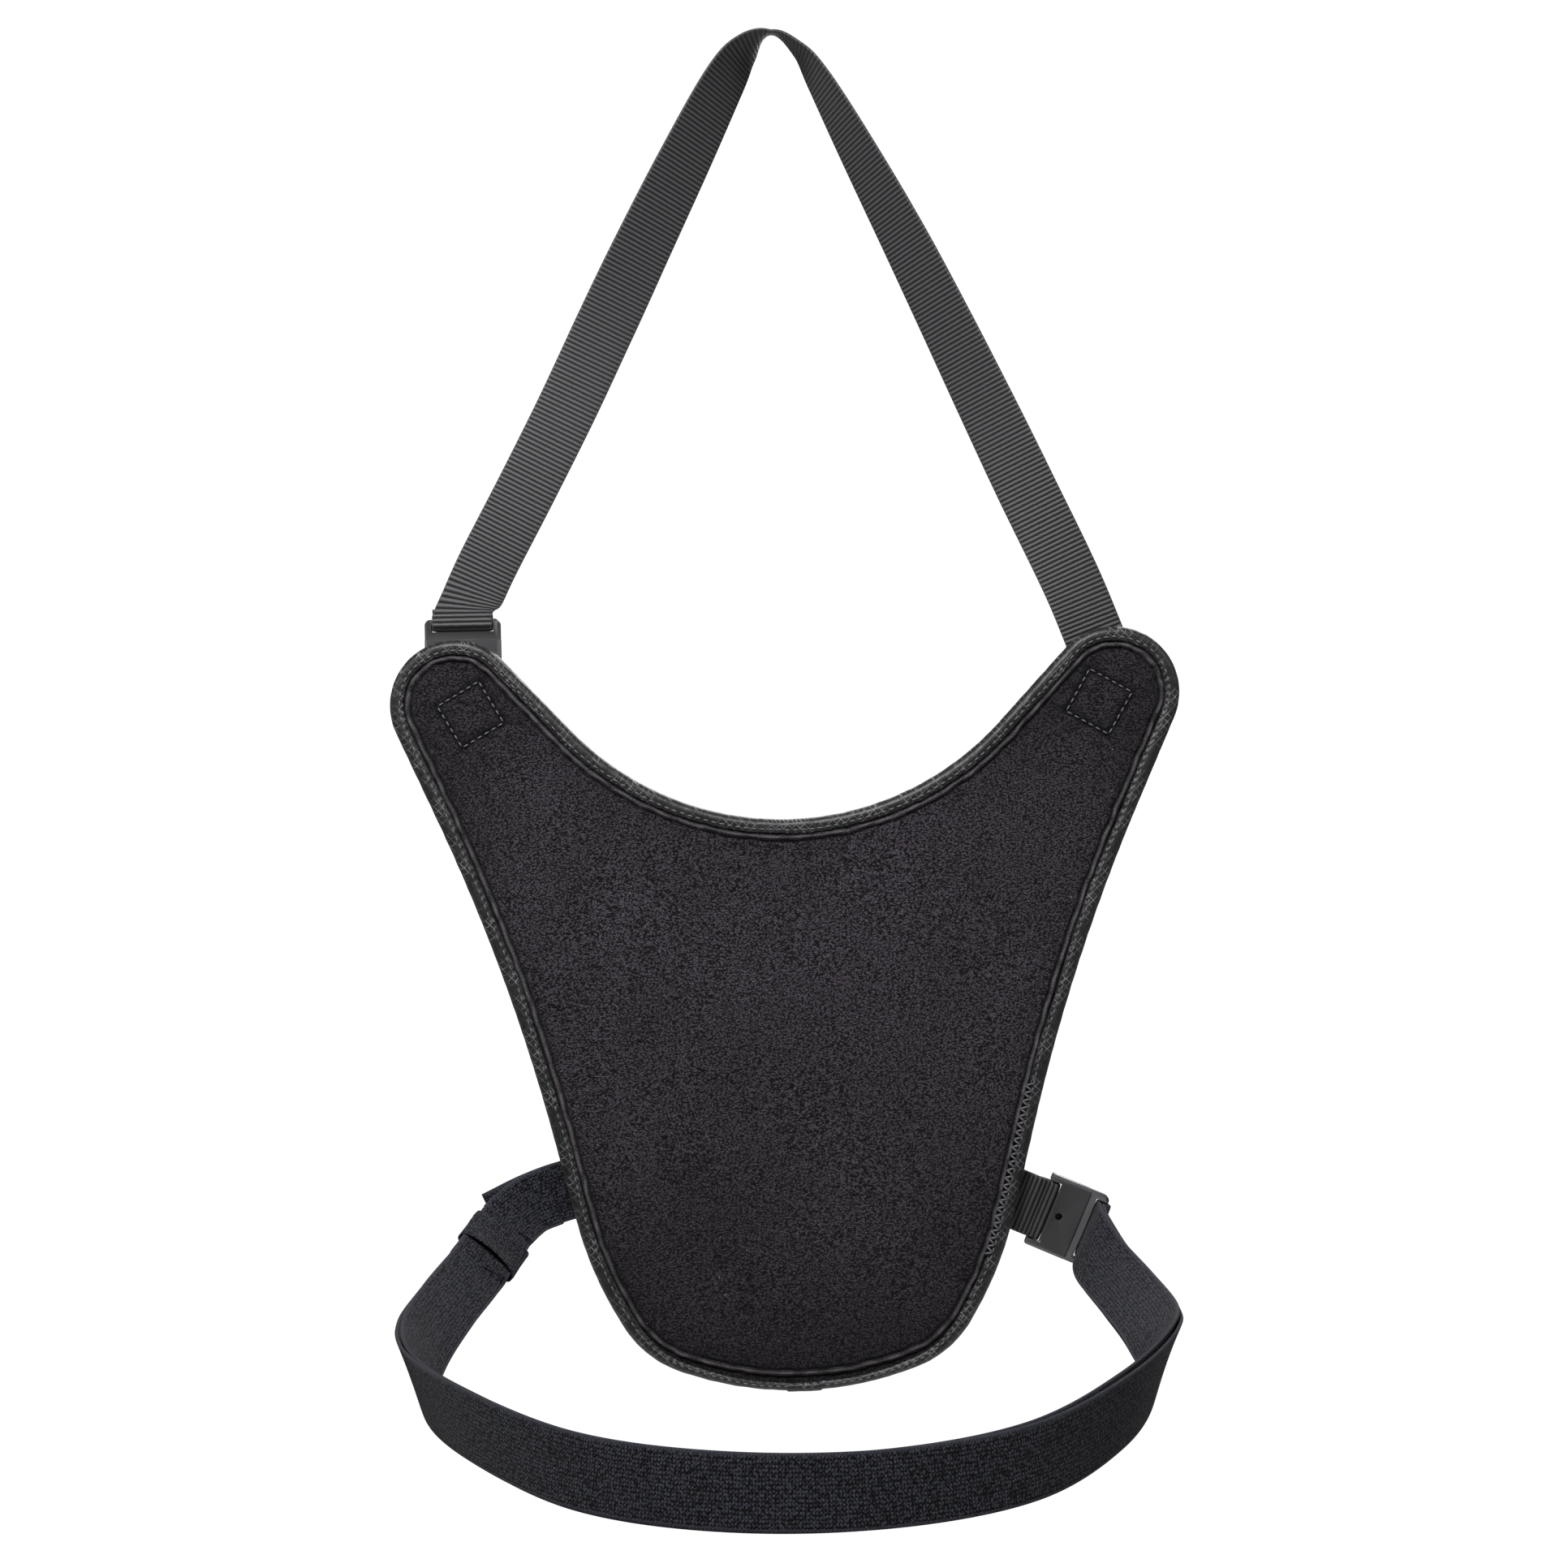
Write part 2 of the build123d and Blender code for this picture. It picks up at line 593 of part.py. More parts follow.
BELT_JOIN = 3 * STEPS
belt_places = stations(belt_route(), BELT_LEAD, BELT_TRAIL)
belt_root = belt_places[: len(belt_places) - BELT_JOIN]
pieces.append(ribbon("belt_band", belt_root, WEBBING_THICK, WEBBING_THICK / 2))
pieces.append(ribbon("belt_return", belt_root, WEBBING_THICK, -WEBBING_THICK / 2))
belt_tail = belt_places[len(belt_root) - 1 :]
pieces.append(ribbon("belt_strap_end", belt_tail, 2 * WEBBING_THICK, 0.0))
outer_leg = PLUG_SLOT_X + LOOP_N * 2
inner_leg = PLUG_SLOT_X + WEBBING_THICK + LAYER_GAP
belt_fold = [
    (PLUG_SLOT_X, -BELT_LOOP_DEPTH),
    (PLUG_SLOT_X, LOOP_N),
    (outer_leg, LOOP_N),
    (outer_leg, BELT_TAIL_RISE - LOOP_N * 2),
    (inner_leg, BELT_TAIL_STEP - BELT_LOOP_DEPTH),
    (inner_leg, -BELT_LOOP_DEPTH),
]
belt_fold_radii = [FOLD_RADIUS, FOLD_RADIUS] + BELT_TAIL_RADII
pieces.append(folded_webbing("belt_loop", BELT_PLANE, belt_fold, belt_fold_radii))
pieces.append(belt_keeper(belt_places[3 * STEPS + 1]))
anchor_places = stations(anchor_route(), ANCHOR_LEAD, ANCHOR_TRAIL)
pieces.append(ribbon("belt_anchor", anchor_places, WEBBING_THICK, 0.0))

pieces.append(webbing_tab("neck_tab", NECK_PLANE, NECK_TAB_REACH))
pieces.append(webbing_tab("belt_tab", BELT_PLANE, BELT_TAB_REACH))

for word, base, reach in (
    ("neck", NECK_PLANE, NECK_TAB_REACH),
    ("belt", BELT_PLANE, BELT_TAB_REACH),
):
    top = STRAP_Y - BUCKLE_Y + WEBBING_THICK * 1.5 + LAYER_GAP
    centre = base.from_local_coords((STITCH_BACK / 2 + STITCH_EDGE - reach, 0, top))
    plane = Plane(origin=centre, x_dir=base.x_dir, z_dir=(0, 1, 0))
    pieces.append(box_stitch(f"{word}_tab_stitch", plane, STITCH_BACK))

for word, place, way in (
    ("neck_strap", neck_places[-1][0], -neck_places[-1][2]),
    ("belt_anchor", anchor_places[0][0], anchor_places[0][2]),
):
    sewn = place + way * (STITCH_BACK / 2 + STITCH_EDGE)
    centre = (sewn.X, STRAP_Y + WEBBING_THICK / 2, sewn.Z)
    plane = Plane(origin=centre, x_dir=way, z_dir=(0, 1, 0))
    pieces.append(box_stitch(f"{word}_stitch", plane, STITCH_BACK))

for piece in pieces:
    export_step(piece, f"parts/{piece.label}.step")
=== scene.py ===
"""Looks for a padded harness sling: cloth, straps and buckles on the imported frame.

All lengths are in metres unless a name ends in _mm. The frame is X to the right of someone who
looks at the lining, Y away from the wearer and Z up, from the top of the neck strap's loop.
"""

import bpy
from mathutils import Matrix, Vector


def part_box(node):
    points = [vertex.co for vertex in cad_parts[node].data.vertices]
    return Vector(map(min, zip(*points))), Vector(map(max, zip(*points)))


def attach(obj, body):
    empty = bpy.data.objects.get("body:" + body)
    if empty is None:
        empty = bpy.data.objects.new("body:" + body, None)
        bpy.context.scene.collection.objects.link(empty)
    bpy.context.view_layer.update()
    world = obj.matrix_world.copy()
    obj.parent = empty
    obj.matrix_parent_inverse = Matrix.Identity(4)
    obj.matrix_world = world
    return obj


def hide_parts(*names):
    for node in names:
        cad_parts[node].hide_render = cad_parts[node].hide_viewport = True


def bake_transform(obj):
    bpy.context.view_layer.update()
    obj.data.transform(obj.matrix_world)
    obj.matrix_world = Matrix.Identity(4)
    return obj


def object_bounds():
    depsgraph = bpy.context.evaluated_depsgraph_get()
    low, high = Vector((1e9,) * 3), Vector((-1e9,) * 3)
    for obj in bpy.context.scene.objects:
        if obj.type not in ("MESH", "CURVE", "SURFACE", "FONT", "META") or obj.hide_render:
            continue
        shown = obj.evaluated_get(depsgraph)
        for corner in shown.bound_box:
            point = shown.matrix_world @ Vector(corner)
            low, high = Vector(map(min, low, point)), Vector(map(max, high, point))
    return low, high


bl_info = {
    "name": "Padded harness sling",
    "version": (1, 0, 0),
    "blender": (4, 5, 0),
    "location": "View3D > Sidebar > Sling",
    "description": "Builds the cloth, straps and finishes of a padded harness sling",
    "category": "Object",
}

import bmesh
import bpy
import numpy as np

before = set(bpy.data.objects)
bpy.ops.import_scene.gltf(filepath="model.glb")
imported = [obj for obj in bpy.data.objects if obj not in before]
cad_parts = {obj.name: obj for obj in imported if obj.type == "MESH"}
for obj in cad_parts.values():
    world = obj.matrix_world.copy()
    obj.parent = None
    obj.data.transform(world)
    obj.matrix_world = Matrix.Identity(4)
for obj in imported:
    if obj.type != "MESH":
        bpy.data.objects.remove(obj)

CAD_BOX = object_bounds()
MM = 0.001
WEBBING_WIDTH = 25.0 * MM
WEBBING_THICK = 1.6 * MM

# How finely curves are drawn: points on each stretch of a strap's route, on a rounded corner,
# round the pad's edge for the binding and for the pad, and round threads and the sleeve.
STEPS = 24
ARC_POINTS = 41
OUTLINE_POINTS = 1500
PAD_OUTLINE_POINTS = 1600
THREAD_RINGS = 5
THREAD_SIDES = 6
KEEPER_SIDES = 64

# The edge's rounding under the tape, how far from the edge and from a sewn square the cover is
# held, the side of a sewn end, and the length over which a strap turns at its ends.
EDGE_ROUND = 2.8 * MM
EDGE_HELD = 6.5 * MM
SQUARE_HELD = 2.2 * MM
SEWN_END = 18.0 * MM
EASE = 16.0 * MM
CLOTH_FRAMES = 20
KEEPER_GAPE = 2.4 * MM
KEEPER_WEAVE_MIDDLE = 8.5

# Corners of the pad's outline as x, height from the neckline's bottom and rounding, in mm.
NECKLINE_Z_MM = -328.0
RIGHT_CORNERS_MM = [
    (227.6, 187.2, 27.0),
    (116.9, -60.3, 800.0),
    (85.4, -186.0, 150.0),
    (64.0, -223.1, 45.0),
]
NECKLINE_CORNER_MM = (0.0, -56.8, 122.0)
HEEL_CORNER_MM = (0.0, -244.4, 140.0)

# The hip corner, where the belt is sewn on, and the right ear's stitches, where the neck strap is.
HIP_X_MM = RIGHT_CORNERS_MM[2][0]
HIP_Z_MM = NECKLINE_Z_MM + RIGHT_CORNERS_MM[2][1]
EAR_MM = np.array([136.76, -277.769])

# Faces of the pad, from the frame.
LINING_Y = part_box("lining_panel")[0][1]
SHELL_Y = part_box("outer_shell")[1][1]
PAD_MIDDLE_Y = (LINING_Y + SHELL_Y) / 2
PAD_HALF = (SHELL_Y - LINING_Y) / 2
BINDING_HALF = (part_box("edge_binding")[1][1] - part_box("edge_binding")[0][1]) / 2
STRAP_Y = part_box("belt_anchor")[0][1] + WEBBING_THICK / 2

# Height below which the lining is given more and more painted shade.
FOOT_SHADE_Z = -0.450

# Ways that the straps run: out of each buckle, down to the right ear, and out of the left edge.
NECK_AHEAD = np.array([0.0, 0.0, 1.0])
BELT_AHEAD = np.array([0.913545, 0.0, -0.406737])
STRAP_DOWN = (0.43, 0.0, -0.9028)
STUB_AWAY = (-0.996, 0.0, -0.088)

# Distances on the buckles, in mm from the seam between socket and plug along the strap, or from
# the buckle's middle plane.
SOCKET_LENGTH_MM = 17.0
PLUG_SLOT_MM = 4.8
NECK_LEG_MM = 4.3
NECK_LEG_REACH_MM = 10.0
NECK_TAIL_REACH_MM = 13.0
PLUG_END_MM = 8.7
LOOP_MM = 2.4
TAB_LOW_MM = -3.4
LAYER_MM = 1.7
NECK_TAB_REACH_MM = 44.0
BELT_TAB_REACH_MM = 58.0
BELT_FOLD_BACK_MM = 7.0

# The stage: how strong the white world lights and looks, the lights as name, place, size and
# power, and the camera, whose width is what it sees at the sling's distance.
WORLD_GLOW = 0.14
WORLD_SEEN = 1.05
FLOOR_DROP = 0.60
LIT_MIDDLE = (0.0, 0.0, -0.32)
LIGHTS = [
    ("key_light", (-0.20, -0.70, 0.42), 0.30, 15.0),
    ("fill_light", (1.2, -0.7, 0.45), 0.5, 5.2),
    ("left_light", (-1.3, -0.4, 0.30), 0.4, 4.6),
    ("back_light", (0.4, 1.8, 0.7), 1.2, 26.0),
]
VIEW_MIDDLE = (-0.0010, 0.0, -0.3132)
VIEW_DISTANCE = 1.200
VIEW_WIDTH = 0.6549
VIEW_ROLL = -0.0209


def linear(code):
    """An sRGB hex colour as linear RGB, by the standard's own curve."""
    shares = [int(code[place : place + 2], 16) / 255 for place in (1, 3, 5)]
    return [s / 12.92 if s <= 0.04045 else ((s + 0.055) / 1.055) ** 2.4 for s in shares]


def size_value(name, description, default):
    """A length property in metres."""
    return bpy.props.FloatProperty(
        name=name, description=description, default=default, unit="LENGTH", precision=5
    )


def colour_value(name, description, code):
    """A colour property from an sRGB hex code."""
    return bpy.props.FloatVectorProperty(
        name=name, description=description, default=linear(code), subtype="COLOR", size=3
    )


class SlingSizes(bpy.types.PropertyGroup):
    """Lengths that shape the soft pieces."""

    puff: size_value("Puff", "How far the padding may swell from its flat face", 0.0034)
    flap: size_value("Binding flap", "Width of the binding on each face", 0.0056)
    foot_flap: size_value("Binding flap at the foot", "Width of the binding there", 0.0036)
    tape: size_value("Binding tape", "Thickness of the binding tape", 0.00055)
    stitch: size_value("Stitch pitch", "Length of one stitch and its gap", 0.0034)
    thread: size_value("Thread", "Thickness of the sewing thread", 0.0007)
    box_stitch: size_value("Box stitch", "Side of a sewn square", 0.0200)
    pucker: size_value("Pucker", "Height of the small folds beside the binding", 0.0004)
    keeper_length: size_value("Keeper", "Length of the belt's sleeve", 0.0200)


class SlingColours(bpy.types.PropertyGroup):
    """Colours of the cloths, threads and plastic."""

    lining: colour_value("Lining", "Brushed knit", "#504a52")
    # The lining shade, a quarter as bright, is also the colour of the lining's painted shade.
    lining_dark: colour_value("Lining shade", "Hollows of the knit", "#070608")
    # Lint also colours the painted highlight on the ridge inside the binding.
    lint: colour_value("Lint", "Specks and turned cloth", "#6d686c")
    shell: colour_value("Shell", "Ripstop nylon outside", "#2b2b2e")
    binding: colour_value("Binding", "Folded edge tape", "#6c6b6e")
    binding_dark: colour_value("Binding shade", "Ground of the edge tape", "#0d0d0e")
    webbing: colour_value("Webbing", "Tops of the ribs", "#444448")
    webbing_dark: colour_value("Webbing shade", "Grooves between the ribs", "#010101")
    elastic: colour_value("Elastic", "Light yarns", "#45464f")
    elastic_dark: colour_value("Elastic shade", "Dark yarns", "#050507")
    thread: colour_value("Thread", "Sewing thread", "#5a585d")
    plastic: colour_value("Plastic", "Moulded buckles", "#222223")
    floor: colour_value("Floor", "Studio floor", "#f4f4f2")


# ---------------------------------------------------------------- numbers and meshes
def unit(vectors):
    """Each row divided by its own length."""
    return vectors / np.maximum(np.linalg.norm(vectors, axis=-1, keepdims=True), 1e-12)


def ripple(along, pitch, seed, waves=4):
    """An uneven wave: a mean of sines whose pitches and phases are spread about one pitch."""
    source = np.random.default_rng(seed)
    pitches = pitch * source.uniform(0.65, 1.6, waves)
    phases = source.uniform(0, 2 * np.pi, waves)
    return np.sin(2 * np.pi * along[..., None] / pitches + phases).sum(-1) / waves**0.5


def resample(path, count, closed=False):
    """Points evenly spaced by length along a path of straight runs."""
    if closed:
        path = np.concatenate([path, path[:1]])
    steps = np.linalg.norm(np.diff(path, axis=0), axis=1)
    along = np.concatenate([[0.0], np.cumsum(steps)])
    wanted = np.linspace(0.0, along[-1], count + 1 if closed else count)
    made = np.stack([np.interp(wanted, along, column) for column in path.T], axis=1)
    return made[:-1] if closed else made


def tangent_arcs(before, corners, after, radii, count):
    """Points of the arcs that round corners, each tangent to both sides of its corner.

    An arc's centre lies on the corner's bisector at radius / sin(half the corner).
    """
    back = unit(before - corners)
    front = unit(after - corners)
    half = np.arccos(np.clip((back * front).sum(1), -1, 1)) / 2
    centres = corners + unit(back + front) * (radii / np.sin(half))[:, None]
    reach = (radii / np.tan(half))[:, None]
    first = corners + back * reach - centres
    last = corners + front * reach - centres
    start = np.arctan2(first[:, 1], first[:, 0])
    turn = np.arctan2(last[:, 1], last[:, 0]) - start
    turn = (turn + np.pi) % (2 * np.pi) - np.pi
    angles = start[:, None] + turn[:, None] * np.linspace(0, 1, count)
    ring = np.stack([np.cos(angles), np.sin(angles)], axis=2)
    return (centres[:, None, :] + radii[:, None, None] * ring).reshape(-1, 2)


def rounded_outline(count=OUTLINE_POINTS):
    """The pad's edge in (x, z), clockwise from the middle of the neckline.

    Each corner gives way to a tangent arc, and straight lines join the arcs.
    """
    left = [(-x, z, radius) for x, z, radius in reversed(RIGHT_CORNERS_MM)]
    table = np.array([NECKLINE_CORNER_MM, *RIGHT_CORNERS_MM, HEEL_CORNER_MM, *left]) * MM
    corners = table[:, :2] + np.array([0.0, NECKLINE_Z_MM * MM])
    before = np.roll(corners, 1, axis=0)
    after = np.roll(corners, -1, axis=0)
    arcs = tangent_arcs(before, corners, after, table[:, 2], ARC_POINTS)
    path = np.roll(arcs, -(ARC_POINTS // 2), axis=0)
    return resample(path, count, closed=True)


def grid_faces(rows, columns, closed_columns=False, offset=0):
    """Quads of a grid of points stored row by row."""
    last = columns if closed_columns else columns - 1
    row, column = np.meshgrid(np.arange(rows - 1), np.arange(last), indexing="ij")
    beside = (column + 1) % columns
    corners = [
        row * columns + column,
        row * columns + beside,
        (row + 1) * columns + beside,
        (row + 1) * columns + column,
    ]
    return np.stack(corners, axis=-1).reshape(-1, 4) + offset


def make_piece(name, points, faces, material, weave=None, label="weave"):
    """A mesh object at the origin with smooth shading, facing outwards, doubles merged.

    weave holds three numbers a point, kept as the attribute that label names.
    """
    mesh = bpy.data.meshes.new(name)
    mesh.from_pydata(points.reshape(-1, 3).tolist(), [], [list(face) for face in faces])
    if weave is not None:
        layer = mesh.attributes.new(label, "FLOAT_VECTOR", "POINT")
        layer.data.foreach_set("vector", weave.astype(np.float32).ravel())
    shell = bmesh.new()
    shell.from_mesh(mesh)
    bmesh.ops.remove_doubles(shell, verts=shell.verts, dist=1e-7)
    bmesh.ops.recalc_face_normals(shell, faces=shell.faces)
    shell.to_mesh(mesh)
    shell.free()
    mesh.shade_smooth()
    made = bpy.data.objects.new(name, mesh)
    bpy.context.scene.collection.objects.link(made)
    mesh.materials.append(material)
    return made


def crease(piece, degrees=35):
    """Keeps edges sharper than the angle crisp, and the rest smooth."""
    piece.data.set_sharp_from_angle(angle=np.radians(degrees))


# ---------------------------------------------------------------- materials
def live(value):
    """A node's first output in use, or the value itself."""
    if isinstance(value, bpy.types.Node):
        return next(output for output in value.outputs if output.enabled)
    return value


def add_node(tree, kind, inputs=None, stops=(), **settings):
    """Adds a node, sets its properties, and gives its inputs values, colours or links.

    kind is the node's class without ShaderNode. An input that is a node takes its first output
    in use. The two stops of a colour ramp are (place, grey or colour).
    """
    made = tree.nodes.new(f"ShaderNode{kind}")
    for name, value in settings.items():
        setattr(made, name, value)
    for key, value in (inputs or {}).items():
        value = live(value)
        socket = made.inputs[key]
        if isinstance(value, bpy.types.NodeSocket):
            tree.links.new(value, socket)
        elif socket.type == "RGBA":
            socket.default_value = (*value, 1.0)[:4]
        else:
            socket.default_value = value
    for number, (place, colour) in enumerate(stops):
        element = made.color_ramp.elements[number]
        element.position = place
        element.color = (colour, colour, colour, 1.0) if isinstance(colour, float) else colour
    return made


def coat(tree, shader, colour, height, strength, depth):
    """Gives the shader a colour, and a relief from a height that stands for a depth."""
    relief = add_node(tree, "Bump", {"Height": height, "Strength": strength, "Distance": depth})
    tree.links.new(live(colour), shader.inputs["Base Color"])
    tree.links.new(live(relief), shader.inputs["Normal"])


def new_material(name, constants):
    """A material with one Principled shader, whose own sockets hold the constants."""
    old = bpy.data.materials.get(name)
    if old:
        return old, None, None
    material = bpy.data.materials.new(name)
    material.use_nodes = True
    tree = material.node_tree
    shader = tree.nodes["Principled BSDF"]
    for key, value in constants.items():
        shader.inputs[key].default_value = value
    return material, tree, shader


def brushed_knit():
    """Brushed polyester knit: a short matt nap with a fine level grain and caught lint."""
    tint = bpy.context.scene.sling_colours
    constants = {"Roughness": 0.95, "Sheen Weight": 0.06, "Sheen Roughness": 0.6}
    constants["Specular IOR Level"] = 0.08
    material, tree, shader = new_material("brushed_knit", constants)
    if tree is None:
        return material
    place = add_node(tree, "TexCoord").outputs["Object"]
    # The nap lies in rows about 0.8 mm apart and 1.4 mm long, drawn a little coarse to show.
    level = add_node(tree, "Mapping", {"Vector": place, "Scale": (0.6, 1.0, 1.0)})
    rows = add_node(
        tree, "TexNoise", {"Vector": level, "Scale": 1200.0, "Detail": 4.0, "Roughness": 0.7}
    )
    fuzz = add_node(
        tree, "TexNoise", {"Vector": place, "Scale": 2000.0, "Detail": 3.0, "Roughness": 0.75}
    )
    cloud = add_node(tree, "TexNoise", {"Vector": place, "Scale": 14.0, "Detail": 3.0})
    # Lint: separate specks of about 0.6 mm, one every few millimetres.
    lint = add_node(
        tree, "TexVoronoi", {"Vector": place, "Scale": 210.0, "Randomness": 1.0}, feature="F1"
    )
    rare = add_node(tree, "TexNoise", {"Vector": place, "Scale": 160.0, "Detail": 1.0})
    spot = add_node(tree, "ValToRGB", {0: lint}, stops=[(0.045, 1.0), (0.085, 0.0)])
    few = add_node(tree, "ValToRGB", {0: rare}, stops=[(0.58, 0.0), (0.64, 1.0)])
    speck = add_node(tree, "Math", {0: spot, 1: few}, operation="MULTIPLY")
    # Loops of the knit: cells of about 0.8 mm in level rows, dark between them.
    squat = add_node(tree, "Mapping", {"Vector": place, "Scale": (0.85, 1.0, 1.25)})
    loops = add_node(tree, "TexVoronoi", {"Vector": squat, "Scale": 1250.0}, feature="F1")
    loop = add_node(tree, "MapRange", {0: loops, 1: 0.15, 2: 0.75, 3: 1.0, 4: 0.0})
    both = add_node(tree, "Math", {0: fuzz, 1: 0.6, 2: rows}, operation="MULTIPLY_ADD")
    both = add_node(tree, "Math", {0: loop, 1: 0.45, 2: both}, operation="MULTIPLY_ADD")
    nap = add_node(
        tree,
        "ValToRGB",
        {0: add_node(tree, "Math", {0: both, 1: 0.49}, operation="MULTIPLY")},
        stops=[(0.42, 0.0), (0.64, 1.0)],
    )
    body = add_node(tree, "Mix", {0: nap, 6: tint.lining_dark, 7: tint.lining}, data_type="RGBA")
    # Painted shade from the first value of the attribute darkens the grooves, the band inside the
    # binding, the ears and the foot; a painted highlight from the second value lightens the ridge of
    # turned cloth.
    painted_light = add_node(tree, "Attribute", attribute_name="painted_light").outputs["Vector"]
    parts = add_node(tree, "SeparateXYZ", {"Vector": painted_light})
    painted_shade_mix = add_node(tree, "Math", {0: parts.outputs[0], 1: 0.88}, operation="MULTIPLY")
    body = add_node(
        tree,
        "Mix",
        {0: painted_shade_mix, 6: body, 7: [part * 0.25 for part in tint.lining_dark]},
        data_type="RGBA",
    )
    # Painted highlight: the ridge of turned cloth is lightened towards the lint colour.
    painted_highlight_mix = add_node(tree, "Math", {0: parts.outputs[1], 1: 0.55}, operation="MULTIPLY")
    body = add_node(tree, "Mix", {0: painted_highlight_mix, 6: body, 7: tint.lint}, data_type="RGBA")
    shade = add_node(
        tree, "ValToRGB", {0: cloud}, stops=[(0.3, (0.8, 0.8, 0.8, 1)), (0.7, (1.12, 1.1, 1.13, 1))]
    )
    body = add_node(
        tree, "Mix", {0: 1.0, 6: body, 7: shade}, data_type="RGBA", blend_type="MULTIPLY"
    )
    body = add_node(tree, "Mix", {0: speck, 6: body, 7: tint.lint}, data_type="RGBA")
    coat(tree, shader, body, both, 0.55, 0.0006)
    return material


def ripstop_cloth():
    """Ripstop nylon: a plain weave with raised double yarns in squares, faintly glossy."""
    tint = bpy.context.scene.sling_colours
    constants = {"Roughness": 0.62, "Specular IOR Level": 0.35, "Sheen Weight": 0.05}
    material, tree, shader = new_material("ripstop_cloth", constants)
    if tree is None:
        return material
    place = add_node(tree, "TexCoord").outputs["Object"]
    parts = add_node(tree, "SeparateXYZ", {"Vector": place})
    # Raised yarns every 5 mm each way: one full turn of a cosine is 5 mm.
    yarns = []
    for axis in (0, 2):
        turn = add_node(
            tree, "Math", {0: parts.outputs[axis], 1: 2 * np.pi / 0.005}, operation="MULTIPLY"
        )
        wave = add_node(tree, "Math", {0: turn}, operation="COSINE")
        yarns.append(add_node(tree, "ValToRGB", {0: wave}, stops=[(0.9, 0.0), (0.98, 1.0)]))
    lines = add_node(tree, "Math", {0: yarns[0], 1: yarns[1]}, operation="MAXIMUM")
    weave = add_node(tree, "TexNoise", {"Vector": place, "Scale": 1800.0, "Detail": 2.0})
    folds = add_node(tree, "TexNoise", {"Vector": place, "Scale": 22.0, "Detail": 3.0})
    shade = add_node(
        tree,
        "ValToRGB",
        {0: folds},
        stops=[(0.3, (0.75, 0.75, 0.76, 1)), (0.7, (1.15, 1.15, 1.16, 1))],
    )
    body = add_node(
        tree, "Mix", {0: 1.0, 6: tint.shell, 7: shade}, data_type="RGBA", blend_type="MULTIPLY"
    )
    lighter = [min(1.0, part * 1.9) for part in tint.shell]
    body = add_node(
        tree,
        "Mix",
        {0: add_node(tree, "Math", {0: lines, 1: 0.6}, operation="MULTIPLY"), 6: body, 7: lighter},
        data_type="RGBA",
    )
    height = add_node(tree, "Math", {0: weave, 1: 0.4, 2: lines}, operation="MULTIPLY_ADD")
    coat(tree, shader, body, height, 0.5, 0.0003)
    return material


def edge_tape():
    """Folded polyester tape: a small slanted lattice with a dull gloss on its raised yarns."""
    tint = bpy.context.scene.sling_colours
    constants = {"Roughness": 0.48, "Specular IOR Level": 0.5, "Sheen Weight": 0.05}
    material, tree, shader = new_material("edge_tape", constants)
    if tree is None:
        return material
    place = add_node(tree, "TexCoord").outputs["Object"]
    parts = add_node(tree, "SeparateXYZ", {"Vector": place})
    x_side, y_side, z_side = parts.outputs[0], parts.outputs[1], parts.outputs[2]
    # Slanted yarns 2.4 mm apart, 3.4 mm along x or z, the two sets crossing into diamonds.
    rise = add_node(tree, "Math", {0: x_side, 1: z_side})
    fall = add_node(tree, "Math", {0: x_side, 1: z_side}, operation="SUBTRACT")
    fall = add_node(tree, "Math", {0: fall, 1: y_side})
    yarns = []
    for slant in (rise, fall):
        turn = add_node(tree, "Math", {0: slant, 1: 2 * np.pi / 0.0034}, operation="MULTIPLY")
        wave = add_node(tree, "Math", {0: turn}, operation="COSINE")
        yarns.append(add_node(tree, "ValToRGB", {0: wave}, stops=[(0.9, 0.0), (0.99, 1.0)]))
    lattice = add_node(tree, "Math", {0: yarns[0], 1: yarns[1]}, operation="MAXIMUM")
    # Random lighter and darker patches from this noise; the lighter ones are painted glints on the
    # tape.
    painted_light = add_node(tree, "TexNoise", {"Vector": place, "Scale": 260.0, "Detail": 4.0})
    glint_patches = add_node(
        tree,
        "ValToRGB",
        {0: painted_light},
        stops=[(0.36, (0.3, 0.3, 0.31, 1)), (0.66, (1.9, 1.9, 1.95, 1))],
    )
    patch = add_node(tree, "TexNoise", {"Vector": place, "Scale": 110.0, "Detail": 2.0})
    faded = add_node(tree, "ValToRGB", {0: patch}, stops=[(0.4, 0.0), (0.62, 1.0)])
    lattice = add_node(
        tree,
        "Math",
        {0: lattice, 1: add_node(tree, "Math", {0: faded, 1: 0.8}, operation="MULTIPLY")},
        operation="MULTIPLY",
    )
    body = add_node(
        tree, "Mix", {0: lattice, 6: tint.binding_dark, 7: tint.binding}, data_type="RGBA"
    )
    # The painted glint patches multiply the tape's colour.
    body = add_node(
        tree, "Mix", {0: 1.0, 6: body, 7: glint_patches}, data_type="RGBA", blend_type="MULTIPLY"
    )
    height = add_node(tree, "Math", {0: painted_light, 1: 1.6, 2: lattice}, operation="MULTIPLY_ADD")
    coat(tree, shader, body, height, 0.6, 0.0004)
    return material


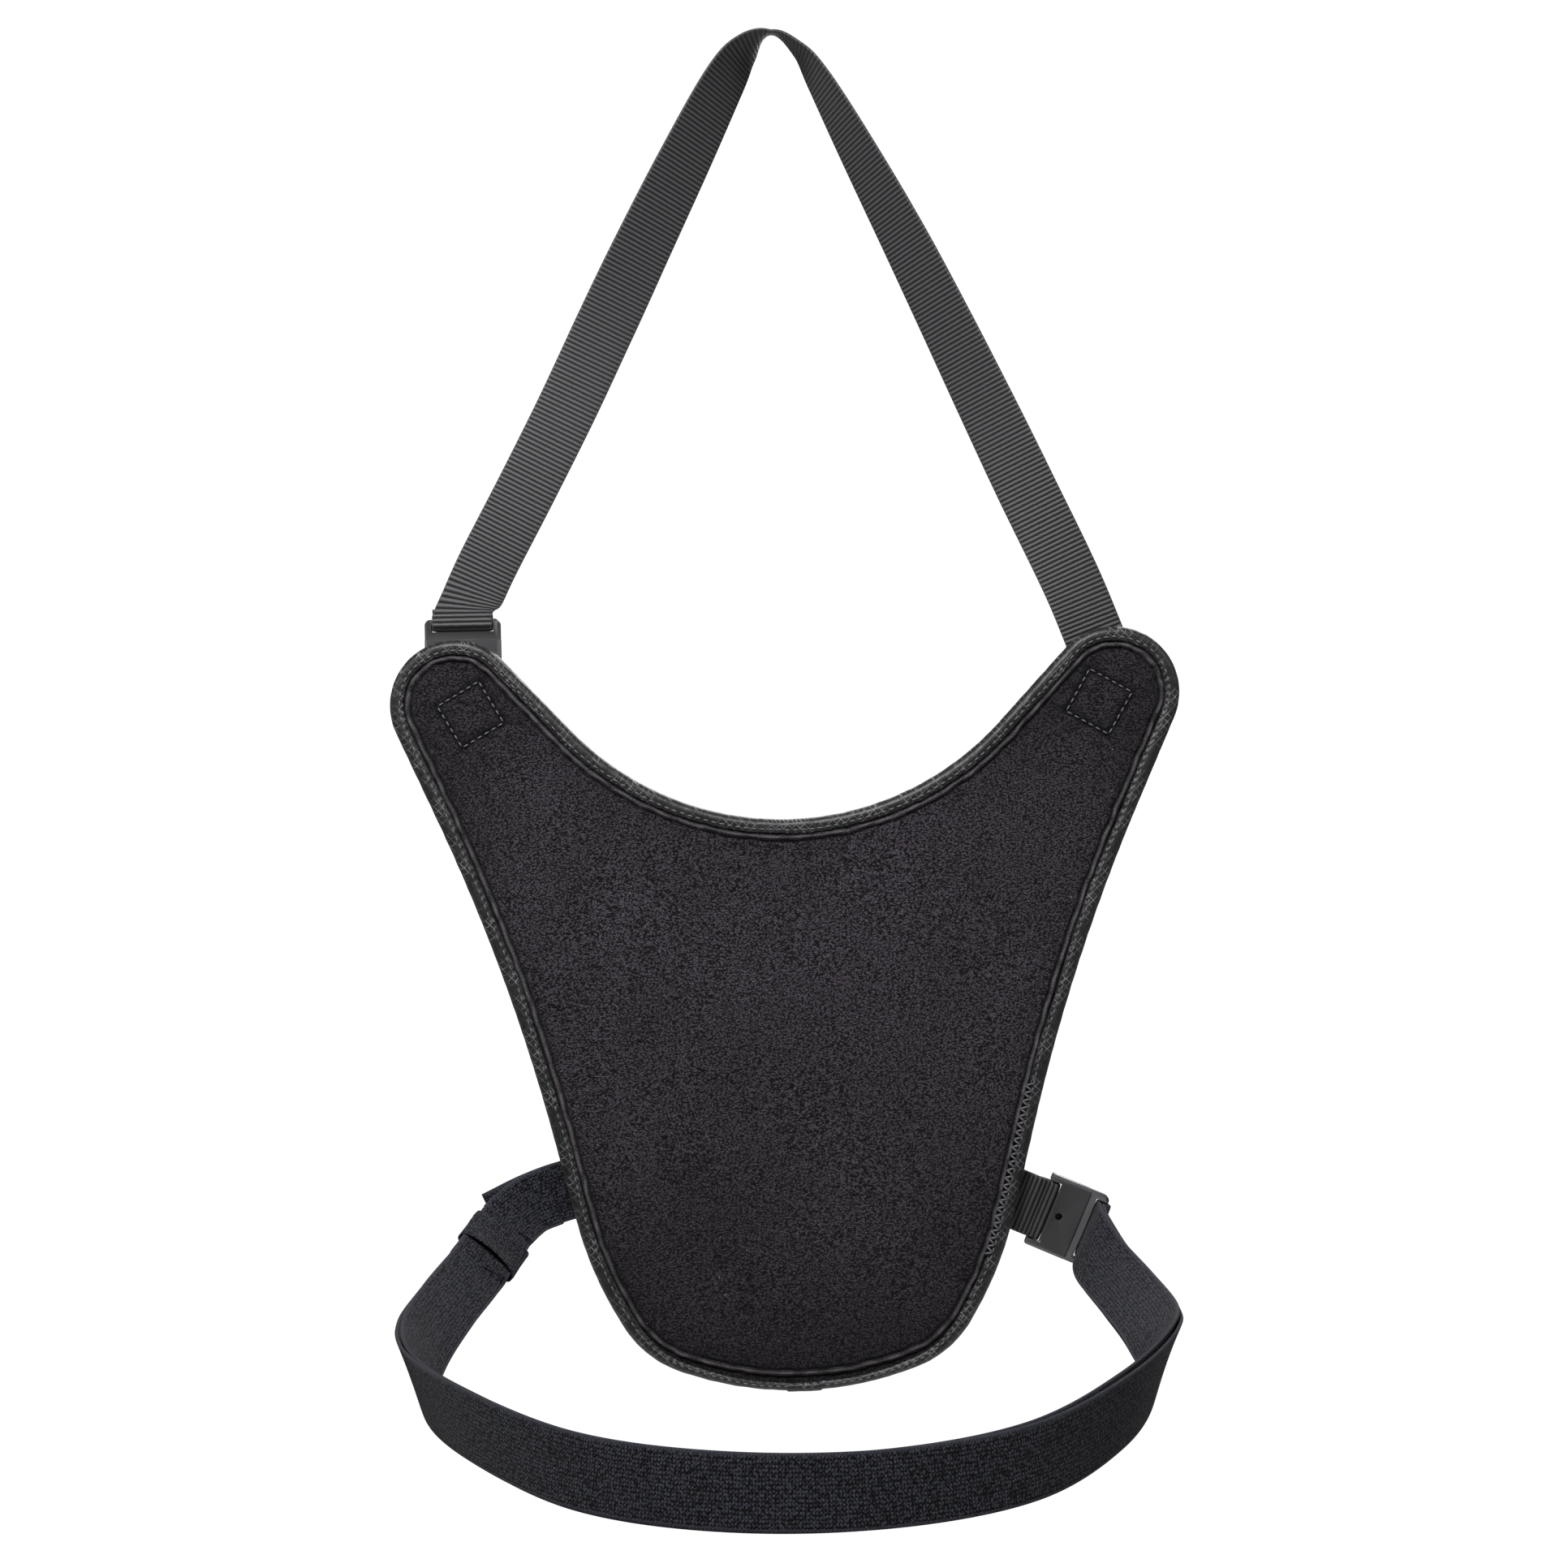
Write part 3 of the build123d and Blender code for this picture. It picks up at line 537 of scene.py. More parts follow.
def ribbed_webbing():
    """Woven polypropylene webbing: ribs across its width with dark grooves between them."""
    tint = bpy.context.scene.sling_colours
    constants = {"Roughness": 0.55, "Specular IOR Level": 0.4, "Sheen Weight": 0.05}
    material, tree, shader = new_material("ribbed_webbing", constants)
    if tree is None:
        return material
    weave = add_node(tree, "Attribute", attribute_name="weave").outputs["Vector"]
    parts = add_node(tree, "SeparateXYZ", {"Vector": weave})
    across, along = parts.outputs[0], parts.outputs[1]
    wander = add_node(tree, "TexNoise", {"Vector": weave, "Scale": 0.5, "Detail": 2.0})
    # Real ribs are about 0.9 mm apart; they are drawn 1.9 mm apart so that they show.
    shifted = add_node(tree, "Math", {0: wander, 1: 0.3, 2: along}, operation="MULTIPLY_ADD")
    turn = add_node(tree, "Math", {0: shifted, 1: 2 * np.pi / 1.9}, operation="MULTIPLY")
    wave = add_node(tree, "Math", {0: turn}, operation="SINE")
    rib = add_node(tree, "Math", {0: wave, 1: 0.5, 2: 0.5}, operation="MULTIPLY_ADD")
    stretch = add_node(tree, "Mapping", {"Vector": weave, "Scale": (2.6, 1.2, 1.0)})
    yarn = add_node(tree, "TexNoise", {"Vector": stretch, "Scale": 1.6, "Detail": 3.0})
    edge = add_node(tree, "Math", {0: across}, operation="ABSOLUTE")
    selvedge = add_node(tree, "MapRange", {0: edge, 1: 11.6, 2: 12.3, 3: 0.0, 4: 1.0})
    rib_high = add_node(
        tree,
        "Mix",
        {0: yarn, 6: [p * 0.55 for p in tint.webbing], 7: tint.webbing},
        data_type="RGBA",
    )
    ridge = add_node(tree, "ValToRGB", {0: rib}, stops=[(0.46, 0.0), (0.62, 1.0)])
    body = add_node(tree, "Mix", {0: ridge, 6: tint.webbing_dark, 7: rib_high}, data_type="RGBA")
    side = [p * 0.75 for p in tint.webbing]
    body = add_node(
        tree,
        "Mix",
        {0: add_node(tree, "Math", {0: selvedge, 1: 0.7}, operation="MULTIPLY"), 6: body, 7: side},
        data_type="RGBA",
    )
    height = add_node(tree, "Math", {0: yarn, 1: 0.35, 2: rib}, operation="MULTIPLY_ADD")
    coat(tree, shader, body, height, 0.7, 0.0004)
    return material


def woven_elastic():
    """Knitted elastic: coarse speckled rows of covered rubber with smooth selvedges."""
    tint = bpy.context.scene.sling_colours
    constants = {"Roughness": 0.9, "Specular IOR Level": 0.1, "Sheen Weight": 0.04}
    material, tree, shader = new_material("woven_elastic", constants)
    if tree is None:
        return material
    weave = add_node(tree, "Attribute", attribute_name="weave").outputs["Vector"]
    parts = add_node(tree, "SeparateXYZ", {"Vector": weave})
    across, along = parts.outputs[0], parts.outputs[1]
    # Picks 1.3 mm apart along the belt and cords 1.5 mm apart across it.
    picks = add_node(tree, "Math", {0: along, 1: 2 * np.pi / 1.3}, operation="MULTIPLY")
    cords = add_node(tree, "Math", {0: across, 1: 2 * np.pi / 1.5}, operation="MULTIPLY")
    pick_wave = add_node(tree, "Math", {0: picks}, operation="SINE")
    cord_wave = add_node(tree, "Math", {0: cords}, operation="SINE")
    bumps = add_node(
        tree,
        "Math",
        {0: add_node(tree, "Math", {0: pick_wave, 1: cord_wave}, operation="MULTIPLY"), 1: 0.5},
        operation="MULTIPLY",
    )
    # Knots of the ground weave: cells of 1.3 by 1.05 mm, dark between them.
    stretch = add_node(tree, "Mapping", {"Vector": weave, "Scale": (0.75, 0.95, 1.0)})
    knots = add_node(
        tree, "TexVoronoi", {"Vector": stretch, "Scale": 1.0, "Randomness": 0.45}, feature="F1"
    )
    knot = add_node(tree, "MapRange", {0: knots, 1: 0.1, 2: 0.7, 3: 1.0, 4: 0.0})
    grain = add_node(tree, "TexNoise", {"Vector": weave, "Scale": 1.4, "Detail": 3.0})
    speckle = add_node(
        tree,
        "Math",
        {0: grain, 1: 0.6, 2: add_node(tree, "Math", {0: knot, 1: 0.45}, operation="MULTIPLY")},
        operation="MULTIPLY_ADD",
    )
    edge = add_node(tree, "Math", {0: across}, operation="ABSOLUTE")
    selvedge = add_node(tree, "MapRange", {0: edge, 1: 11.2, 2: 11.7, 3: 0.0, 4: 1.0})
    mix = add_node(tree, "Math", {0: bumps, 1: 0.14, 2: speckle}, operation="MULTIPLY_ADD")
    tone = add_node(tree, "ValToRGB", {0: mix}, stops=[(0.36, 0.0), (0.82, 1.0)])
    body = add_node(tree, "Mix", {0: tone, 6: tint.elastic_dark, 7: tint.elastic}, data_type="RGBA")
    side = [p * 0.62 for p in tint.elastic]
    body = add_node(
        tree,
        "Mix",
        {0: add_node(tree, "Math", {0: selvedge, 1: 0.8}, operation="MULTIPLY"), 6: body, 7: side},
        data_type="RGBA",
    )
    height = add_node(tree, "Math", {0: bumps, 1: 0.5, 2: speckle}, operation="MULTIPLY_ADD")
    coat(tree, shader, body, height, 0.8, 0.0005)
    return material


def sewing_thread():
    """Bonded polyester thread: a tight twist with a slight gloss."""
    tint = bpy.context.scene.sling_colours
    constants = {"Roughness": 0.5, "Specular IOR Level": 0.4}
    material, tree, shader = new_material("sewing_thread", constants)
    if tree is None:
        return material
    place = add_node(tree, "TexCoord").outputs["Object"]
    twist = add_node(tree, "TexNoise", {"Vector": place, "Scale": 900.0, "Detail": 2.0})
    darker = [part * 0.5 for part in tint.thread]
    body = add_node(
        tree,
        "Mix",
        {0: twist, 6: darker, 7: [part * 1.4 for part in tint.thread]},
        data_type="RGBA",
    )
    coat(tree, shader, body, twist, 0.4, 0.0002)
    return material


def moulded_acetal():
    """Moulded acetal: an even satin skin with a fine spark-eroded grain, and painted highlights on
    its edges.
    """
    tint = bpy.context.scene.sling_colours
    constants = {"Roughness": 0.30, "IOR": 1.48, "Specular IOR Level": 0.6}
    material, tree, shader = new_material("moulded_acetal", constants)
    if tree is None:
        return material
    place = add_node(tree, "TexCoord").outputs["Object"]
    grain = add_node(tree, "TexNoise", {"Vector": place, "Scale": 3500.0, "Detail": 2.0})
    flow = add_node(tree, "TexNoise", {"Vector": place, "Scale": 90.0, "Detail": 3.0})
    # Painted highlight on sharp edges, found by their pointiness.
    pointed = add_node(tree, "NewGeometry").outputs["Pointiness"]
    painted_edge_glint = add_node(tree, "ValToRGB", {0: pointed}, stops=[(0.51, 0.0), (0.57, 1.0)])
    shade = add_node(
        tree, "ValToRGB", {0: flow}, stops=[(0.3, (0.88, 0.88, 0.88, 1)), (0.7, (1.1, 1.1, 1.1, 1))]
    )
    body = add_node(
        tree, "Mix", {0: 1.0, 6: tint.plastic, 7: shade}, data_type="RGBA", blend_type="MULTIPLY"
    )
    # The bright colour of the painted edge highlight.
    lighter = [min(1.0, part * 9.0) for part in tint.plastic]
    body = add_node(
        tree,
        "Mix",
        {0: add_node(tree, "Math", {0: painted_edge_glint, 1: 0.7}, operation="MULTIPLY"), 6: body, 7: lighter},
        data_type="RGBA",
    )
    coat(tree, shader, body, grain, 0.15, 0.0001)
    return material


def studio_floor():
    """Matt painted board: even and pale with a faint roller texture."""
    tint = bpy.context.scene.sling_colours
    material, tree, shader = new_material("studio_floor", {"Roughness": 0.9})
    if tree is None:
        return material
    place = add_node(tree, "TexCoord").outputs["Object"]
    roller = add_node(tree, "TexNoise", {"Vector": place, "Scale": 60.0, "Detail": 3.0})
    body = add_node(
        tree, "Mix", {0: roller, 6: [p * 0.97 for p in tint.floor], 7: tint.floor}, data_type="RGBA"
    )
    coat(tree, shader, body, roller, 0.1, 0.0003)
    return material


# ---------------------------------------------------------------- the pad
def pad_grid(outline, rows, columns):
    """A net over the pad: rows run from ear tip to ear tip, columns from top edge to bottom.

    Row ends meet at the tips of the ears. Each column is a straight line between the same
    shares of the top and bottom edges, with points crowded towards both ends: a share is
    0.45 t + 0.55 (1 - cos(pi t)) / 2.
    """
    count = len(outline)
    lean = outline[: count // 2] @ np.array([0.80, 0.60])
    tip = int(np.argmax(lean))
    top = np.concatenate([outline[count - tip :], outline[: tip + 1]])
    bottom = outline[tip : count - tip + 1][::-1]
    top = resample(top, columns)
    bottom = resample(bottom, columns)
    even = np.linspace(0, 1, rows)
    share = (0.45 * even + 0.275 * (1 - np.cos(np.pi * even)))[:, None, None]
    return top[None] * (1 - share) + bottom[None] * share


def edge_distance(spots, outline):
    """Distance from each point to the outline, and the length along it of the nearest place."""
    flat = spots.reshape(-1, 2)
    step = np.linalg.norm(outline[1] - outline[0])
    gaps = []
    places = []
    for chunk in np.array_split(flat, 24):
        away = ((chunk[:, None, :] - outline[None]) ** 2).sum(2)
        nearest = away.argmin(1)
        gaps.append(np.sqrt(away[np.arange(len(chunk)), nearest]))
        places.append(nearest * step)
    shape = spots.shape[:-1]
    return np.concatenate(gaps).reshape(shape), np.concatenate(places).reshape(shape)


def ear_squares():
    """Centre and turn, in radians, of the sewn square on each ear, from the frame."""
    squares = []
    for name, side in (("left_ear_stitch", -1), ("right_ear_stitch", 1)):
        low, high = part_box(name)
        centre = np.array([(low[0] + high[0]) / 2, (low[2] + high[2]) / 2])
        squares.append((centre, -side * np.radians(30.0)))
    return squares


def square_gap(spots, centre, turn, half):
    """Distance of each point to the line of a turned square: positive outside it."""
    away = spots - centre
    across = np.abs(away[..., 0] * np.cos(turn) + away[..., 1] * np.sin(turn))
    up = np.abs(away[..., 1] * np.cos(turn) - away[..., 0] * np.sin(turn))
    return np.maximum(across, up) - half


def swell(spots, gap):
    """How far the padded face lifts, in metres, by a cloth simulation of its cover.

    The cover is held beside the binding and along the sewn squares, and blown up by an even
    pressure with no gravity. The lift is capped smoothly by a tanh.
    """
    sizes = bpy.context.scene.sling_sizes
    half = sizes.box_stitch / 2
    held = gap < EDGE_HELD
    for centre, turn in ear_squares():
        held |= np.abs(square_gap(spots, centre, turn, half)) < SQUARE_HELD
    rows, columns = gap.shape
    points = np.stack([spots[..., 0], np.zeros_like(gap), spots[..., 1]], axis=-1)
    mesh = bpy.data.meshes.new("cover_trial")
    mesh.from_pydata(points.reshape(-1, 3).tolist(), [], grid_faces(rows, columns).tolist())
    trial = bpy.data.objects.new("cover_trial", mesh)
    scene = bpy.context.scene
    scene.collection.objects.link(trial)
    group = trial.vertex_groups.new(name="held")
    group.add(np.flatnonzero(held.ravel()).tolist(), 1.0, "REPLACE")
    cloth = trial.modifiers.new("cover", "CLOTH")
    cloth.settings.quality = 6
    cloth.settings.mass = 0.15
    cloth.settings.tension_stiffness = 12
    cloth.settings.compression_stiffness = 12
    cloth.settings.shear_stiffness = 6
    cloth.settings.bending_stiffness = 0.05
    cloth.settings.shrink_min = -0.012
    cloth.settings.use_pressure = True
    cloth.settings.uniform_pressure_force = 4.0
    cloth.settings.vertex_group_mass = "held"
    cloth.settings.effector_weights.gravity = 0.0
    cloth.collision_settings.use_collision = False
    cloth.collision_settings.use_self_collision = False
    cloth.point_cache.frame_start = 1
    cloth.point_cache.frame_end = CLOTH_FRAMES
    for number in range(1, CLOTH_FRAMES + 1):
        scene.frame_set(number)
    shaped = trial.evaluated_get(bpy.context.evaluated_depsgraph_get())
    flat = np.empty(rows * columns * 3, dtype=np.float32)
    shaped.data.vertices.foreach_get("co", flat)
    lift = np.abs(flat.reshape(rows, columns, 3)[..., 1].astype(float))
    scene.frame_set(1)
    bpy.data.objects.remove(trial)
    return sizes.puff * np.tanh(lift / (2.0 * sizes.puff))


def stretched(values, rows, columns):
    """A small grid of values made larger by straight interpolation both ways."""
    old_rows = np.linspace(0, 1, values.shape[0])
    old_columns = np.linspace(0, 1, values.shape[1])
    wide = np.stack([np.interp(np.linspace(0, 1, columns), old_columns, v) for v in values])
    tall = [np.interp(np.linspace(0, 1, rows), old_rows, column) for column in wide.T]
    return np.stack(tall, axis=1)


def face_lift(gap, along, facing):
    """Height of one face of the pad from its middle plane in metres, and its painted shade and
    highlight.

    The edge is half an ellipse that goes under the binding. Inside the binding come a
    groove, a ridge of turned cloth, another groove, and folds that fade inwards. The other results
    are painted shade over the grooves and a band inside the binding (first), and a painted highlight
    on the ridge (second), each from 0 to 1.
    """
    sizes = bpy.context.scene.sling_sizes
    edge = np.clip(gap / 0.003, 0, 1)
    lift = (PAD_HALF - 0.0001) * np.sqrt(1 - (1 - edge) ** 2)
    inside = gap - sizes.flap
    folds = ripple(along, 0.0085, 3 + facing) + 0.6 * ripple(along, 0.021, 5 + facing)
    lift = lift + sizes.pucker * folds * np.exp(-np.abs(inside - 0.002) / 0.004) * (inside > 0)
    wander = 0.0002 * ripple(along, 0.016, 11)
    ridge = np.exp(-(((inside - 0.0018 - wander) / 0.0006) ** 2))
    groove = np.exp(-(((inside - 0.0004) / 0.0006) ** 2))
    outer = np.exp(-(((inside - 0.0032 - wander) / 0.0005) ** 2))
    # A band of painted shade inside the binding, fading inwards.
    shade = 0.35 * np.exp(-np.maximum(inside, 0) / 0.009)
    lift = lift + 0.0009 * ridge - 0.0010 * groove - 0.0008 * outer
    uneven = np.clip(0.65 + 0.35 * ripple(along, 0.010, 9), 0.1, 1)
    # Painted shade in the grooves and the band, and a painted highlight on the ridge.
    painted_shade = np.clip(groove + 0.9 * outer + shade * (1 - ridge), 0, 1)
    return lift, painted_shade, ridge * uneven


def pad_cover(name, facing, material, rows, columns):
    """A closed half of the pad: one padded face, and a flat back on the middle plane.

    The lining is given painted shade round the sewn squares, by a Gaussian of the distance to them,
    and more and more towards the foot.
    """
    outline = rounded_outline(PAD_OUTLINE_POINTS)
    spots = pad_grid(outline, rows, columns)
    gap, along = edge_distance(spots, outline)
    lift, painted_shade, raised = face_lift(gap, along, facing)
    sizes = bpy.context.scene.sling_sizes
    tilt = spots[..., 0] * 0.6 + spots[..., 1]
    slant = spots[..., 0] - 0.45 * spots[..., 1]
    drape = (ripple(tilt, 0.085, 21) + ripple(slant, 0.060, 22)) * np.clip(gap / 0.03, 0, 1)
    if facing < 0:
        # Painted shade, darker and darker towards the foot.
        foot = np.clip((FOOT_SHADE_Z - spots[..., 1]) / 0.10, 0, 1)
        painted_shade = np.clip(painted_shade + 0.45 * foot, 0, 1)
        coarse = pad_grid(outline, 61, 121)
        coarse_gap = edge_distance(coarse, outline)[0]
        lift = lift + stretched(swell(coarse, coarse_gap), rows, columns) + 0.0003 * drape
        for centre, turn in ear_squares():
            near = square_gap(spots, centre, turn, sizes.box_stitch / 2)
            dip = np.exp(-((near / 0.0012) ** 2))
            lift = lift - 0.0008 * dip
            # Painted shade round the sewn square, and in its stitch groove through the dip.
            ear_painted_shade = 0.45 * np.exp(-((np.maximum(near, 0) / 0.022) ** 2))
            painted_shade = np.clip(painted_shade + dip + ear_painted_shade, 0, 1)
            pull = np.exp(-((np.maximum(near, 0) / 0.008) ** 2)) * (near > 0)
            bearing = np.arctan2(spots[..., 1] - centre[1], spots[..., 0] - centre[0])
            lift = lift + 0.0005 * pull * np.sin(9 * bearing + 2 * turn)
            lift = lift + 0.0008 * np.clip(-near / 0.004, 0, 1)
    else:
        lift = lift + 0.0004 * np.clip(gap / 0.02, 0, 1) + 0.00035 * drape
    lift[[0, -1]] = 0.0
    lift[:, [0, -1]] = 0.0
    front = np.stack([spots[..., 0], PAD_MIDDLE_Y + facing * lift, spots[..., 1]], axis=-1)
    numbers = np.arange(rows * columns).reshape(rows, columns)
    back = [*numbers[0].tolist(), *numbers[-1, -2:0:-1].tolist()]
    faces = [*grid_faces(rows, columns).tolist(), back]
    # The painted shade and the painted highlight, kept for the lining's colour.
    painted_light = np.stack([painted_shade, raised, np.zeros_like(gap)], axis=-1)
    cover = make_piece(name, front, faces, material, painted_light.reshape(-1, 3), "painted_light")
    crease(cover, 75)
    return cover


class SLING_OT_pad(bpy.types.Operator):
    """Makes the padded lining and the outer cover of the pad."""

    bl_idname = "sling.pad"
    bl_label = "Pad"

    def execute(self, context):
        lining = pad_cover("pad_lining", -1, brushed_knit(), 201, 481)
        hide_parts("lining_panel", "foam_core")
        cover = pad_cover("pad_cover", 1, ripstop_cloth(), 121, 301)
        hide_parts("outer_shell")
        for piece in (lining, cover):
            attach(piece, "harness")
        return {"FINISHED"}


# ---------------------------------------------------------------- binding and thread
def flap_width(outline):
    """Width of the binding, narrower under the foot and never quite even, and the place along."""
    sizes = bpy.context.scene.sling_sizes
    step = np.linalg.norm(outline[1] - outline[0])
    along = np.arange(len(outline)) * step
    foot = np.exp(-((outline[:, 0] / 0.060) ** 4)) * (outline[:, 1] < -0.53)
    width = sizes.flap + (sizes.foot_flap - sizes.flap) * foot
    return width + 0.00025 * ripple(along, 0.055, 31), along


def edge_frame(outline):
    """Outward direction in (x, z) at each point of the outline."""
    ahead = unit(np.roll(outline, -1, axis=0) - np.roll(outline, 1, axis=0))
    return np.stack([-ahead[:, 1], ahead[:, 0]], axis=1)


def binding_tape():
    """Tape folded round the edge: half an ellipse with a flap on each face, carried along it.

    The outer surface goes from the back flap round to the front flap, and the inner one back,
    one tape thickness inside it.
    """
    sizes = bpy.context.scene.sling_sizes
    outline = rounded_outline()
    outward = edge_frame(outline)
    width, along = flap_width(outline)
    turn = np.linspace(-np.pi / 2, np.pi / 2, 17)
    flap_share = np.array([1.0, 0.75, 0.5, 0.25])
    loops = []
    for inset in (0.0, sizes.tape):
        tall = BINDING_HALF - inset
        curve_in = EDGE_ROUND * (1 - np.cos(turn)) + inset - 0.0002
        curve_y = -tall * np.sin(turn)
        reach = width[:, None] - EDGE_ROUND
        flap_in = curve_in[0] + flap_share[None] * reach
        pinch = 0.00022 * (1 - np.cos(2 * np.pi * along / sizes.stitch))[:, None]
        drop = (0.00030 + pinch) * np.clip(flap_share[None] * 1.6 - 0.6, 0, 1)
        back_y = tall - drop
        front_y = -tall + drop
        inward = np.concatenate(
            [flap_in, np.tile(curve_in, (len(outline), 1)), flap_in[:, ::-1]], axis=1
        )
        depth = np.concatenate(
            [back_y, np.tile(curve_y, (len(outline), 1)), front_y[:, ::-1]], axis=1
        )
        loops.append((inward, depth))
    inward = np.concatenate([loops[0][0], loops[1][0][:, ::-1]], axis=1)
    depth = np.concatenate([loops[0][1], loops[1][1][:, ::-1]], axis=1)
    crumple = 0.00004 * ripple(along, 0.0075, 41)[:, None]
    lap = 0.00045 * (np.abs(outline[:, 0] - 0.002) < 0.007) * (outline[:, 1] < -0.53)
    swollen = crumple + lap[:, None]
    inward = inward - swollen
    depth = depth * (1 + swollen / BINDING_HALF)
    flat = outline[:, None, :] - outward[:, None, :] * inward[..., None]
    points = np.stack([flat[..., 0], PAD_MIDDLE_Y + depth, flat[..., 1]], axis=-1)
    rows, columns = depth.shape
    points = np.concatenate([points, points[:1]])
    faces = grid_faces(rows + 1, columns, closed_columns=True)
    return make_piece("binding", points, faces, edge_tape())


def thread_run(name, centres, directions, lifts, length, thick):
    """Short threads, each a spindle that dips at both ends.

    A point at share s of its length and angle a round it stands at half the thickness times
    sin(pi s) to the power 0.4, so both ends close.
    """
    share = np.linspace(0, 1, THREAD_RINGS)
    angle = np.linspace(0, 2 * np.pi, THREAD_SIDES, endpoint=False)
    radius = 0.5 * thick * np.sin(np.pi * np.clip(share, 0.02, 0.98)) ** 0.4
    side = unit(np.cross(directions, lifts))
    ring = (
        side[:, None, None, :] * (np.cos(angle)[None, None, :, None])
        + lifts[:, None, None, :] * (np.sin(angle)[None, None, :, None])
    )
    spine = centres[:, None, :] + directions[:, None, :] * ((share - 0.5) * length)[None, :, None]
    spine = spine - lifts[:, None, :] * (0.5 * thick * (2 * share - 1) ** 2)[None, :, None]
    points = spine[:, :, None, :] + ring * radius[None, :, None, None]
    count = len(centres)
    one = grid_faces(THREAD_RINGS, THREAD_SIDES, closed_columns=True)
    bases = np.arange(count) * THREAD_RINGS * THREAD_SIDES
    faces = (one[None] + bases[:, None, None]).reshape(-1, 4)
    first = bases[:, None] + np.arange(THREAD_SIDES)[::-1]
    last = bases[:, None] + np.arange(THREAD_SIDES) + (THREAD_RINGS - 1) * THREAD_SIDES
    caps = np.stack([first, last], axis=1).reshape(-1, THREAD_SIDES)
    return make_piece(name, points, [*faces.tolist(), *caps.tolist()], sewing_thread())


def binding_stitches(facing):
    """The row of stitches that holds one flap of the binding."""
    sizes = bpy.context.scene.sling_sizes
    outline = rounded_outline()
    outward = edge_frame(outline)
    width = flap_width(outline)[0]
    line = outline - outward * (width - 0.0014)[:, None]
    length = np.linalg.norm(np.diff(line, axis=0), axis=1).sum()
    count = int(length / sizes.stitch)
    spots = resample(line, count, closed=True)
    ahead = unit(np.roll(spots, -1, axis=0) - np.roll(spots, 1, axis=0))
    level = PAD_MIDDLE_Y + facing * (BINDING_HALF + 0.00005)
    centres = np.stack([spots[:, 0], np.full(count, level), spots[:, 1]], axis=1)
    directions = np.stack([ahead[:, 0], np.zeros(count), ahead[:, 1]], axis=1)
    lifts = np.tile([0.0, float(facing), 0.0], (count, 1))
    word = "front" if facing < 0 else "back"
    name = f"binding_stitches_{word}"
    return thread_run(name, centres, directions, lifts, sizes.stitch * 0.72, sizes.thread)


def seam_zigzag():
    """Zigzag repair stitching along the binding on the lower right, over its inner edge."""
    sizes = bpy.context.scene.sling_sizes
    outline = rounded_outline()
    outward = edge_frame(outline)
    width = flap_width(outline)[0]
    right = (outline[:, 0] > 0) & (outline[:, 1] < -0.440) & (outline[:, 1] > -0.512)
    line = (outline - outward * (width + 0.0002)[:, None])[right]
    away = outward[right]
    count = 46
    spots = resample(line, count)
    sides = resample(away, count)
    swing = np.where(np.arange(count) % 2 == 0, 1.0, -1.0)[:, None] * 0.0016
    zigzag = spots + sides * swing
    flat = np.stack([zigzag[:, 0], np.full(count, 0.0), zigzag[:, 1]], axis=1)
    centres = (flat[1:] + flat[:-1]) / 2
    steps = flat[1:] - flat[:-1]
    centres[:, 1] = PAD_MIDDLE_Y - BINDING_HALF - 0.0003
    lifts = np.tile([0.0, -1.0, 0.0], (count - 1, 1))
    long = float(np.linalg.norm(steps, axis=1).mean())
    return thread_run("seam_zigzag", centres, unit(steps), lifts, long, sizes.thread * 1.2)


def square_stitches(name, centre, along, facing, side):
    """Stitches round a square, from its centre, one side's direction and its outward face."""
    sizes = bpy.context.scene.sling_sizes
    other = np.cross(facing, along)
    per_side = int(round(side / sizes.stitch))
    share = (np.arange(per_side) + 0.5) / per_side - 0.5
    centres = []
    directions = []
    for quarter in range(4):
        run = (along, other, -along, -other)[quarter]
        out = (other, -along, -other, along)[quarter]
        centres.append(centre + out * side / 2 + run * (share * side)[:, None])
        directions.append(np.tile(run, (per_side, 1)))
    lifts = np.tile(facing, (4 * per_side, 1))
    length = side / per_side * 0.7
    centres = np.concatenate(centres)
    return thread_run(name, centres, np.concatenate(directions), lifts, length, sizes.thread)


class SLING_OT_binding(bpy.types.Operator):
    """Makes the binding round the pad's edge and its stitching."""

    bl_idname = "sling.binding"
    bl_label = "Binding"

    def execute(self, context):
        tape = binding_tape()
        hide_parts("edge_binding")
        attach(tape, "harness")
        for piece in (binding_stitches(-1), binding_stitches(1), seam_zigzag()):
            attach(piece, "harness")
        return {"FINISHED"}


class SLING_OT_stitches(bpy.types.Operator):
    """Makes the sewn squares on the ears and where the straps meet the cover."""

    bl_idname = "sling.stitches"
    bl_label = "Sewn squares"

    def execute(self, context):
        sizes = context.scene.sling_sizes
        towards = np.array([0.0, -1.0, 0.0])
        names = ("left_ear_stitch", "right_ear_stitch")
        for name, (centre, turn) in zip(names, ear_squares()):
            spot = np.array([centre[0], LINING_Y + 0.0001, centre[1]])
            along = np.array([np.cos(turn), 0.0, np.sin(turn)])
            piece = square_stitches(f"{name}es", spot, along, towards, sizes.box_stitch)
            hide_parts(name)
            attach(piece, "harness")
        backs = {
            "neck_tab_stitch": NECK_AHEAD,
            "belt_tab_stitch": BELT_AHEAD,
            "neck_strap_stitch": STRAP_DOWN,
            "belt_anchor_stitch": STUB_AWAY,
        }
        for name, along in backs.items():
            low, high = (np.array(corner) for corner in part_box(name))
            spot = (low + high) / 2
            spot[1] = low[1] + sizes.thread * 0.3
            piece = square_stitches(
                f"{name}es", spot, unit(np.array(along)), -towards, SEWN_END - sizes.thread
            )
            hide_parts(name)
            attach(piece, "harness")
        return {"FINISHED"}


